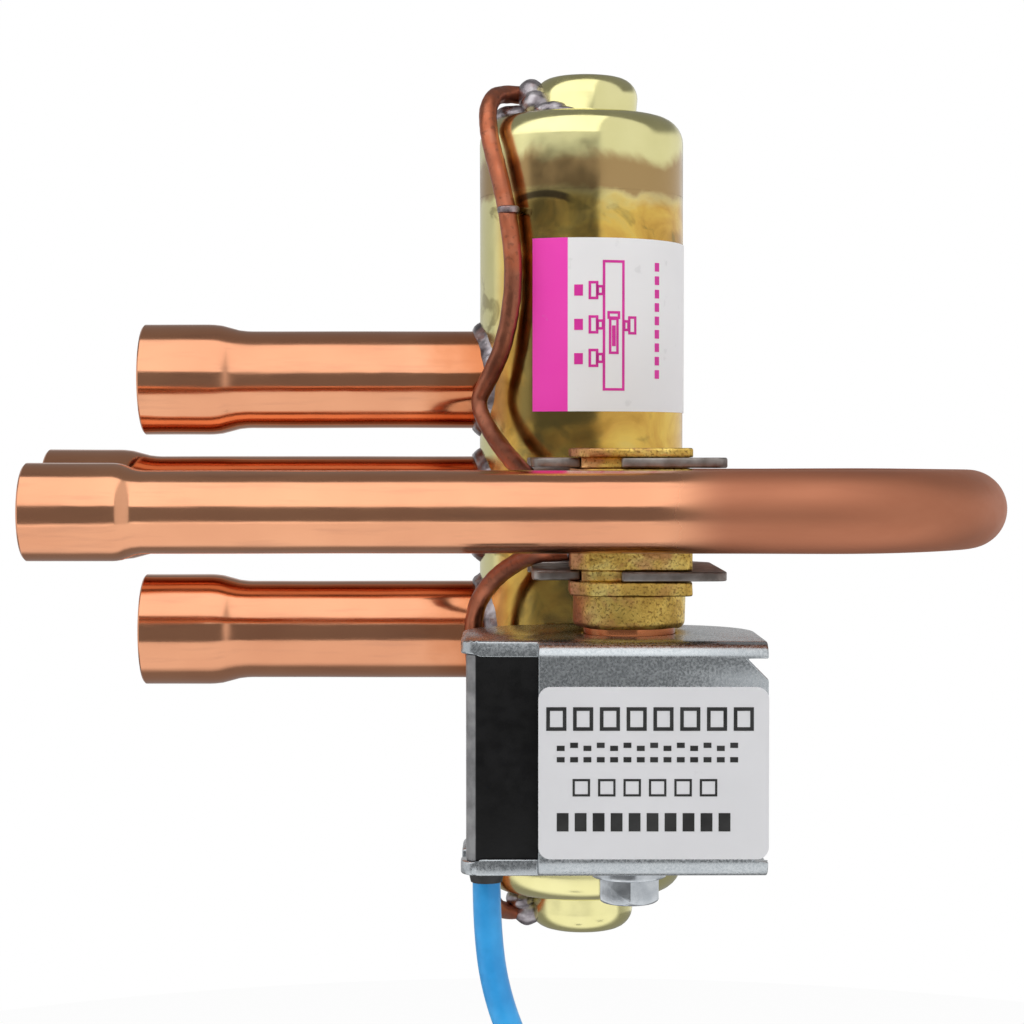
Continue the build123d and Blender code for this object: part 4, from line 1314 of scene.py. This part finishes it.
@dataclass(frozen=True)
class Capillary:
    """One thin tube between the pilot valve and a port.

    Attributes:
        node: The CAD node that it replaces.
        points: Its control points, in millimetres from the body's axis.
        flat_at: Which point is squeezed by the bending tool, or None.
    """

    node: str
    points: tuple[Point, ...]
    flat_at: int | None = None


CAPILLARIES = (
    Capillary(
        "evaporator_capillary",
        (
            (-0.95, -27.3, 2.4),
            (-5.4, -27.3, 2.4),
            (-8.0, -20.0, 4.4),
            (-11.4, -12.6, 8.6),
            (-13.6, -9.9, 12.6),
            (-13.0, -10.2, 14.6),
            (-10.4, -11.5, 19.0),
            (-8.9, -12.3, 26.0),
            (-8.9, -12.3, 33.0),
            (-10.4, -11.1, 41.0),
            (-12.3, -9.1, 47.6),
            (-12.2, -6.2, 52.0),
            (-10.6, -2.4, 53.6),
            (-8.0, 0.0, 53.6),
            (-5.1, 0.0, 53.6),
        ),
        4,
    ),
    Capillary(
        "condenser_capillary",
        (
            (-0.95, -27.3, -5.0),
            (-5.4, -27.3, -5.0),
            (-7.4, -20.6, -5.9),
            (-11.2, -14.6, -8.6),
            (-14.0, -11.0, -12.6),
            (-14.2, -10.4, -18.0),
            (-12.9, -9.8, -26.0),
            (-12.2, -9.4, -36.0),
            (-12.6, -9.4, -47.4),
            (-11.4, -5.2, -53.2),
            (-9.0, 0.0, -53.6),
            (-5.1, 0.0, -53.6),
        ),
    ),
    Capillary(
        "suction_capillary",
        (
            (-0.95, -27.3, -1.5),
            (-5.4, -27.3, -1.5),
            (-10.6, -24.6, -1.3),
            (-16.2, -18.4, -0.5),
            (-19.0, -12.0, 0.0),
            (-19.0, -5.55, 0.0),
        ),
    ),
    Capillary(
        "discharge_capillary",
        ((10.75, -27.3, -1.5), (15.15, -27.3, -1.5), (17.4, -30.6, 0.0), (17.4, -36.04, 0.0)),
    ),
)


@dataclass
class CapillaryWork:
    """The four capillaries and the lumps of filler at their ends.

    Attributes:
        layout: The frame's driving places.
        diameter: The tubes' diameter, in millimetres.
        squeeze: What is left of the width where the bending tool gripped.
    """

    layout: Layout
    diameter: float = 2.3
    squeeze: float = 0.8

    def tube(self, plan: Capillary, finish: Material) -> None:
        """Bends one capillary, flattened a little where the tool gripped it."""
        points = [self.layout.place(*point) for point in plan.points]
        curve = wire(f"{plan.node}_tube", points, self.diameter * MM, 4)
        if plan.flat_at is not None:
            curve.data.splines[0].points[plan.flat_at].radius = self.squeeze
        piece = as_mesh(curve)
        push_out(piece, swells=900, depth=0.00007, seed=len(plan.points))
        dress(piece, finish, [plan.node])

    def lump(self, name: str, place: Point, size: Point, seed: float) -> Piece:
        """A lump of filler: a ball drawn out and left uneven."""
        clear_selection()
        bpy.ops.mesh.primitive_ico_sphere_add(subdivisions=4, radius=MM, location=self.layout.place(*place))
        piece = bpy.context.object
        piece.name = name
        piece.scale = size
        settle(piece, 180)
        push_out(piece, swells=260, depth=0.0006, seed=seed)
        push_out(piece, swells=900, depth=0.00012, seed=seed + 4)
        return piece

    def fillets(self, filler: Material) -> None:
        """The lumps at both bosses, and small fillets at the pilot valve and the two side taps."""
        lumps = [
            self.lump("upper_boss_lump", (-6.5, -0.9, 53.0), (2.1, 2.3, 2.5), 2),
            self.lump("upper_shoulder_lump", (-8.8, -2.2, 50.6), (2.3, 2.6, 1.5), 6),
            self.lump("upper_side_lump", (-5.9, -3.7, 51.5), (2.1, 1.9, 1.9), 9),
            self.lump("upper_front_lump", (-4.2, -5.7, 50.9), (1.9, 1.5, 1.2), 15),
            self.lump("upper_front_edge", (-2.4, -6.7, 50.6), (1.6, 0.9, 0.6), 17),
            self.lump("lower_boss_lump", (-7.0, -0.6, -53.4), (1.9, 2.1, 1.8), 8),
            self.lump("lower_shoulder_lump", (-7.9, -1.6, -51.6), (1.9, 2.2, 1.3), 3),
            self.lump("suction_tap_lump", (-19.0, -6.2, 0.0), (1.9, 0.9, 1.9), 5),
            self.lump("discharge_tap_lump", (17.4, -35.6, 0.0), (1.8, 0.9, 1.8), 7),
            self.lump("pilot_right_lump", (12.4, -27.3, -1.5), (0.8, 1.7, 1.7), 12),
        ]
        for height in (2.4, -1.5, -5.0):
            lumps.append(self.lump("pilot_left_lump", (-2.4, -27.3, height), (0.7, 1.55, 1.45), 13 + height))
        clear_selection()
        for piece in lumps:
            piece.select_set(True)
        bpy.context.view_layer.objects.active = lumps[0]
        bpy.ops.object.join()
        lumps[0].name = "capillary_filler"
        dress(lumps[0], filler, ["capillary_brazes"])

    def joint_ring(self, filler: Material) -> None:
        """The light ring where two lengths of the upper capillary are joined."""
        ring = turned(
            "capillary_joint",
            [(1.12, -0.5), (1.36, -0.35), (1.42, 0.0), (1.36, 0.35), (1.12, 0.5)],
            self.layout.place(-9.55, -11.75, 37.4),
            segments=48,
        )
        dress(ring, filler)

    def build(self, finish: Material, filler: Material) -> None:
        """Makes all four capillaries and their joints."""
        for plan in CAPILLARIES:
            self.tube(plan, finish)
        self.fillets(filler)
        self.joint_ring(filler)


# ------------------------------------------------------------------ pressed and machined pieces


def softened(name: str, node: str, width: float, segments: int = 3, angle: float = 32.0) -> Piece:
    """A machined or pressed piece with its edges broken, worked from a copy of the CAD shape.

    Args:
        name: The new piece's name.
        node: The CAD node that gives the shape.
        width: How far the edges are rounded, in millimetres.
        segments: How many strips each rounded edge has.
        angle: Edges sharper than this, in degrees, are rounded.

    Returns:
        The piece, not yet dressed.
    """
    piece = bpy.data.objects.new(name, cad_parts[node].data.copy())
    bpy.context.collection.objects.link(piece)
    edit(piece)
    bpy.ops.mesh.select_all(action="SELECT")
    bpy.ops.mesh.remove_doubles(threshold=0.000001)
    bpy.ops.mesh.dissolve_limited(angle_limit=math.radians(0.4))
    bpy.ops.mesh.normals_make_consistent(inside=False)
    bpy.ops.object.mode_set(mode="OBJECT")
    bevel = piece.modifiers.new("edges", "BEVEL")
    bevel.width = width * MM
    bevel.segments = segments
    bevel.limit_method = "ANGLE"
    bevel.angle_limit = math.radians(angle)
    bevel.use_clamp_overlap = False
    bpy.ops.object.modifier_apply(modifier=bevel.name)
    bpy.ops.object.shade_smooth_by_angle(angle=math.radians(angle))
    return piece


@dataclass(frozen=True)
class Pressing:
    """One machined, pressed or moulded piece.

    Attributes:
        name: The piece's name.
        node: The CAD node that it replaces.
        width: How far its edges are rounded, in millimetres.
        slot: The record's material slot; not used.
        swells: How many swells to the metre its surface has, or 0.
        depth: How deep they are, in metres.
        turn: How far it is turned about its own upright axis, in degrees.
    """

    name: str
    node: str
    width: float
    slot: str
    swells: float = 0.0
    depth: float = 0.0
    turn: float = 0.0

    def build(self, material: Material) -> None:
        """Makes the piece."""
        piece = softened(self.name, self.node, self.width)
        if self.swells:
            push_out(piece, self.swells, self.depth, self.width)
        if self.turn:
            middle = centre(self.node)
            spin = Matrix.Rotation(math.radians(self.turn), 4, "Z")
            piece.data.transform(Matrix.Translation(middle) @ spin @ Matrix.Translation(-middle))
        dress(piece, material, [self.node])


# ------------------------------------------------------------------ printed marks


@dataclass
class Print:
    """Marks printed on a label, each an upright rectangle of ink.

    Attributes:
        name: The piece's name.
        slot: The record's material slot; not used.
        marks: (left, bottom, right, top) of each, in millimetres.
        thickness: How proud the ink stands, in millimetres.
    """

    name: str
    slot: str
    marks: list[tuple[float, float, float, float]] = field(default_factory=list)
    thickness: float = 0.02

    def bar(self, left: float, bottom: float, right: float, top: float) -> None:
        """Adds a filled rectangle."""
        self.marks.append((left, bottom, right, top))

    def frame(self, left: float, bottom: float, right: float, top: float, line: float) -> None:
        """Adds a rectangle drawn in line."""
        self.bar(left, bottom, left + line, top)
        self.bar(right - line, bottom, right, top)
        self.bar(left + line, bottom, right - line, bottom + line)
        self.bar(left + line, top - line, right - line, top)

    def build(self, ink: Material, lay: Callable[[float, float, float], Point]) -> None:
        """Makes the ink as thin raised strips.

        Args:
            ink: The ink's material.
            lay: Turns (across, up, proud), in millimetres, into a place on the label, in metres.
        """
        strips = []
        for left, bottom, right, top in self.marks:
            clear_selection()
            bpy.ops.mesh.primitive_cube_add(size=1)
            strip = bpy.context.object
            edit(strip)
            bpy.ops.mesh.select_all(action="SELECT")
            bpy.ops.mesh.subdivide(number_cuts=3)
            bpy.ops.object.mode_set(mode="OBJECT")
            for vertex in strip.data.vertices:
                across = left + (vertex.co.x + 0.5) * (right - left)
                up = bottom + (vertex.co.z + 0.5) * (top - bottom)
                vertex.co = lay(across, up, (0.5 - vertex.co.y) * self.thickness)
            strips.append(strip)
        clear_selection()
        for strip in strips:
            strip.select_set(True)
        bpy.context.view_layer.objects.active = strips[0]
        bpy.ops.object.join()
        strips[0].name = self.name
        settle(strips[0], 20)
        dress(strips[0], ink)


@dataclass(frozen=True)
class Row:
    """A row of equal marks on the coil's film, in millimetres.

    Attributes:
        count: How many marks.
        left: Where the first begins.
        pitch: From one to the next.
        width: How wide each is.
        bottom: Their lower edge.
        top: Their upper edge.
        line: The line that a hollow mark is drawn in, or 0 for a filled one.
        stagger: How much higher every second mark stands.
    """

    count: int
    left: float
    pitch: float
    width: float
    bottom: float
    top: float
    line: float = 0.0
    stagger: float = 0.0


COIL_ROWS = (
    Row(8, -5.2, 3.05, 2.3, -24.9, -22.2, line=0.42),
    Row(14, -4.0, 1.52, 0.9, -27.2, -26.6, stagger=0.35),
    Row(14, -4.0, 1.52, 0.9, -28.5, -27.9),
    Row(6, -2.2, 2.9, 2.0, -32.4, -30.4, line=0.26),
    Row(10, -4.0, 2.05, 1.35, -36.4, -34.3),
)


@dataclass
class Labels:
    """The film on the body with its plain flow diagram, and the film on the coil with plain marks.

    Attributes:
        layout: The frame's driving places.
        body_r: The body film's outer radius, in millimetres.
        coil_front: The coil film's front face, from the body's axis.
    """

    layout: Layout
    body_r: float = 13.43
    coil_front: float = -41.03

    def round_body(self, across: float, up: float, proud: float) -> Point:
        """Lays a mark on the body: across is measured round the film from the very front."""
        angle = across / self.body_r
        radius = self.body_r + proud
        return self.layout.place(radius * math.sin(angle), -radius * math.cos(angle), up)

    def on_coil(self, across: float, up: float, proud: float) -> Point:
        """Lays a mark on the coil's film."""
        return self.layout.place(across, self.coil_front - proud, up)

    def diagram(self) -> Print:
        """The valve in outline: its body, three stubs at the left, one at the right, and the slide."""
        line = 0.33
        marks = Print("flow_diagram", "label_film")
        marks.frame(2.3, 14.6, 5.2, 31.0, line)
        for middle in (27.2, 22.9, 18.7):
            marks.frame(0.5, middle - 1.15, 1.75, middle + 1.15, line)
            marks.frame(1.5, middle - 0.65, 2.5, middle + 0.65, line)
        marks.frame(5.0, 22.1, 5.9, 23.5, line)
        marks.frame(5.7, 21.7, 6.9, 24.0, line)
        marks.frame(2.9, 23.6, 4.6, 24.6, line)
        marks.frame(3.1, 19.2, 4.4, 23.8, line)
        marks.bar(3.5, 20.2, 4.0, 22.8)
        for row in range(3):
            marks.bar(-1.3, 27.9 - 4.3 * row, -0.2, 26.5 - 4.3 * row)
        for row in range(9):
            marks.bar(9.9, 30.9 - 1.7 * row, 10.7, 29.8 - 1.7 * row)
        return marks

    def coil_marks(self) -> Print:
        """Rows of plain boxes and bars."""
        marks = Print("coil_marks", "label_film")
        for row in COIL_ROWS:
            for step in range(row.count):
                left = row.left + row.pitch * step
                lift = row.stagger * (step % 2)
                corners = (left, row.bottom + lift, left + row.width, row.top + lift)
                if row.line:
                    marks.frame(*corners, row.line)
                else:
                    marks.bar(*corners)
        return marks

    def build(self, magenta: Material, black: Material) -> None:
        """Prints both labels."""
        self.diagram().build(magenta, self.round_body)
        self.coil_marks().build(black, self.on_coil)


# ------------------------------------------------------------------ lead


# The lead's free stretch, from its exit to the first turn, in millimetres from the body's axis.
LEAD_ROUTE = (
    (-12.1, -33.0, -42.4),
    (-12.1, -33.0, -49.0),
    (-10.9, -33.3, -57.4),
    (-7.4, -34.1, -65.6),
    (-5.4, -34.7, -70.3),
    (-5.4, -34.7, -78.0),
)
# The moulded relief at the exit, as (radius, height), in millimetres.
RELIEF = (
    (1.66, -40.3),
    (2.38, -40.3),
    (2.38, -41.8),
    (2.20, -42.1),
    (1.85, -43.6),
    (1.66, -43.6),
    (1.66, -40.3),
)


@dataclass
class Lead:
    """The coil's blue lead, its put-away turns and the moulded relief at its exit, in millimetres; the tie
    and connector keep their CAD shapes.

    Attributes:
        layout: The frame's driving places.
        diameter: The lead's diameter.
        outer_turn: The radius of the outermost turn.
        pitch: From one turn to the next.
        turns: How many turns in all, half of them in each layer.
        layers: Where the front and rear layers lie along Y.
        ring: The turns' middle, as (x, z).
        tail: Heights of the straight tail's points, down to its connector.
    """

    layout: Layout
    diameter: float = 3.3
    outer_turn: float = 21.4
    pitch: float = 3.4
    turns: int = 5
    layers: tuple[float, float] = (-34.7, -31.3)
    ring: tuple[float, float] = (16.0, -87.1)
    tail: tuple[float, ...] = (-97.0, -101.5, -106.5)

    def turn_points(self, per_turn: int = 16) -> list[Point]:
        """The put-away turns: inwards in the front layer and outwards again in the rear one."""
        points = []
        count = self.turns * per_turn
        middle = self.turns / 2
        for step in range(count + 1):
            done = step / per_turn
            radius = self.outer_turn - self.pitch * min(done, self.turns - done)
            angle = math.pi + math.tau * done
            share = min(max((done - middle) / 0.4 + 0.5, 0.0), 1.0)
            y = self.layers[0] + (self.layers[1] - self.layers[0]) * share
            across, up = radius * math.cos(angle), radius * math.sin(angle)
            points.append((self.ring[0] + across, y, self.ring[1] + up))
        return points

    def build(self, rubber: Material, boot: Material) -> None:
        last_x = self.ring[0] - self.outer_turn
        tail = [(last_x, self.layers[1], height) for height in self.tail]
        route = [self.layout.place(*point) for point in (*LEAD_ROUTE, *self.turn_points(), *tail)]
        line = wire("lead_wire", route, self.diameter * MM)
        path = line_points(line)
        lead = as_mesh(line)
        dress(lead, rubber, ["lead", "lead_coil", "lead_tail"])
        lead.visible_glossy = False  # mirrored surfaces don't show the put-away turns
        relief = turned(
            "lead_relief",
            RELIEF,
            self.layout.place(LEAD_ROUTE[0][0], LEAD_ROUTE[0][1], 0),
            segments=64,
        )
        dress(relief, boot, ["lead_grommet"])


def line_points(cord: Piece) -> list[Vector]:
    """The points of a curve's own line, read from its spline with no bevel."""
    bevel = cord.data.bevel_depth
    cord.data.bevel_depth = 0.0
    line = bpy.data.meshes.new_from_object(cord)
    cord.data.bevel_depth = bevel
    return [vertex.co.copy() for vertex in line.vertices]


# ------------------------------------------------------------------ everything


def make_tubes(layout: Layout) -> Material:
    """Makes the body, its copper tubes and the capillaries.

    Args:
        layout: The frame's driving places.

    Returns:
        The left tubes' copper, which the pilot's sleeve shares.
    """
    axis = layout.axis_x
    port_copper = CopperFinish("port_copper", hot_x=axis - 0.0115).make()
    front_copper = CopperFinish("front_copper", matte_x=axis + 0.006).make()
    filler = BrazeFinish().make()
    Body(layout).build(BrassFinish("tinted_brass", middle_x=axis, band_z=0.042).make())
    Tubing(layout).build(port_copper, front_copper, filler)
    CapillaryWork(layout).build(CapillaryFinish().make(), filler)
    return port_copper


def make_pressings(layout: Layout) -> None:
    """Makes the pilot block, its bracket, and the coil's frame, moulding and fasteners."""
    dull = SteelFinish("dull_steel", (0.20, 0.175, 0.16), (0.36, 0.33, 0.31), (0.34, 0.52)).make()
    plated = SteelFinish("plated_bolt", (0.44, 0.47, 0.50), (0.60, 0.63, 0.66), (0.14, 0.26), 0.0).make()
    resin = MouldedFinish(
        "coil_black",
        (0.003, 0.003, 0.0032),
        (0.006, 0.006, 0.0065),
        (0.3, 0.5),
        relief=0.00003,
        # Painted grey sheen along the moulding's left edge.
        painted_sheen_x=layout.axis_x - 0.0133,
        gloss=0.22,
    ).make()
    brass = RoughBrassFinish(layout.pilot_x - 0.008).make()
    Pressing("pilot_block", "pilot_body", 0.22, "pilot_brass", 500, 0.00012).build(brass)
    Pressing("bracket_sheet", "pilot_bracket", 0.2, "bracket_steel", 120, 0.0001).build(dull)
    Pressing("coil_channel", "coil_frame", 0.22, "zinc_steel", 45, 0.00008).build(ZincFinish().make())
    Pressing("coil_moulding", "coil_resin", 0.25, "coil_resin", 60, 0.00005).build(resin)
    Pressing("bolt", "coil_bolt", 0.15, "bolt_zinc", turn=30).build(plated)
    Pressing("plain_washer", "flat_washer", 0.12, "bolt_zinc").build(plated)
    Pressing("split_washer", "spring_washer", 0.1, "bolt_zinc").build(plated)


def print_labels(layout: Layout) -> None:
    """Finishes both films and prints them."""
    pink = (1.0, 0.055, 0.54)
    paint(FilmFinish("body_film", (0.94, 0.94, 0.955), pink, layout.axis_x - 0.0021).make(), "body_label")
    paint(FilmFinish("coil_film", (0.79, 0.79, 0.81)).make(), "coil_label")
    magenta = MouldedFinish("magenta_ink", (0.68, 0.015, 0.32), (0.80, 0.025, 0.40), (0.35, 0.5)).make()
    black = MouldedFinish("black_ink", (0.012, 0.012, 0.012), (0.03, 0.03, 0.03), (0.4, 0.55)).make()
    Labels(layout).build(magenta, black)


def paint_inner_pieces(port_copper: Material) -> None:
    """Gives the pieces that keep their CAD shape, most of them inside, their materials."""
    paint(
        SteelFinish("machined_brass", (0.62, 0.50, 0.22), (0.72, 0.60, 0.30), (0.18, 0.3)).make(),
        "valve_seat",
        "pilot_seat",
    )
    paint(
        MouldedFinish("natural_nylon", (0.62, 0.60, 0.54), (0.70, 0.68, 0.62), (0.3, 0.45)).make(),
        "main_slide",
        "pilot_slide",
        "coil_bobbin",
        "lead_connector",
        "lead_tie",
    )
    paint(
        SteelFinish("bright_steel", (0.45, 0.46, 0.47), (0.62, 0.63, 0.64), (0.22, 0.36)).make(),
        "slide_carrier",
        "upper_piston",
        "lower_piston",
        "piston_screws",
        "plunger",
        "plunger_spring",
        "fixed_core",
    )
    paint(
        MouldedFinish("seal_plastic", (0.10, 0.10, 0.11), (0.15, 0.15, 0.16), (0.3, 0.45)).make(),
        "upper_piston_seal",
        "lower_piston_seal",
    )
    enamel = SteelFinish("enamelled_copper", (0.40, 0.14, 0.06), (0.52, 0.21, 0.10), (0.25, 0.4)).make()
    paint(enamel, "coil_winding")
    paint(port_copper, "pilot_sleeve")


def main() -> None:
    """Builds the scene in order and reports each piece."""
    logging.basicConfig(level=logging.INFO, format="%(name)s: %(message)s")
    layout = read_layout()
    Studio(layout).build()
    blue = MouldedFinish("lead_blue", (0.022, 0.33, 0.78), (0.04, 0.43, 0.92), (0.30, 0.42)).make()
    boot = MouldedFinish("boot_black", (0.012, 0.012, 0.013), (0.02, 0.02, 0.022), (0.4, 0.6)).make()
    Lead(layout).build(blue, boot)
    port_copper = make_tubes(layout)
    make_pressings(layout)
    print_labels(layout)
    paint_inner_pieces(port_copper)

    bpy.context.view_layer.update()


if __name__ == "__main__":
    main()
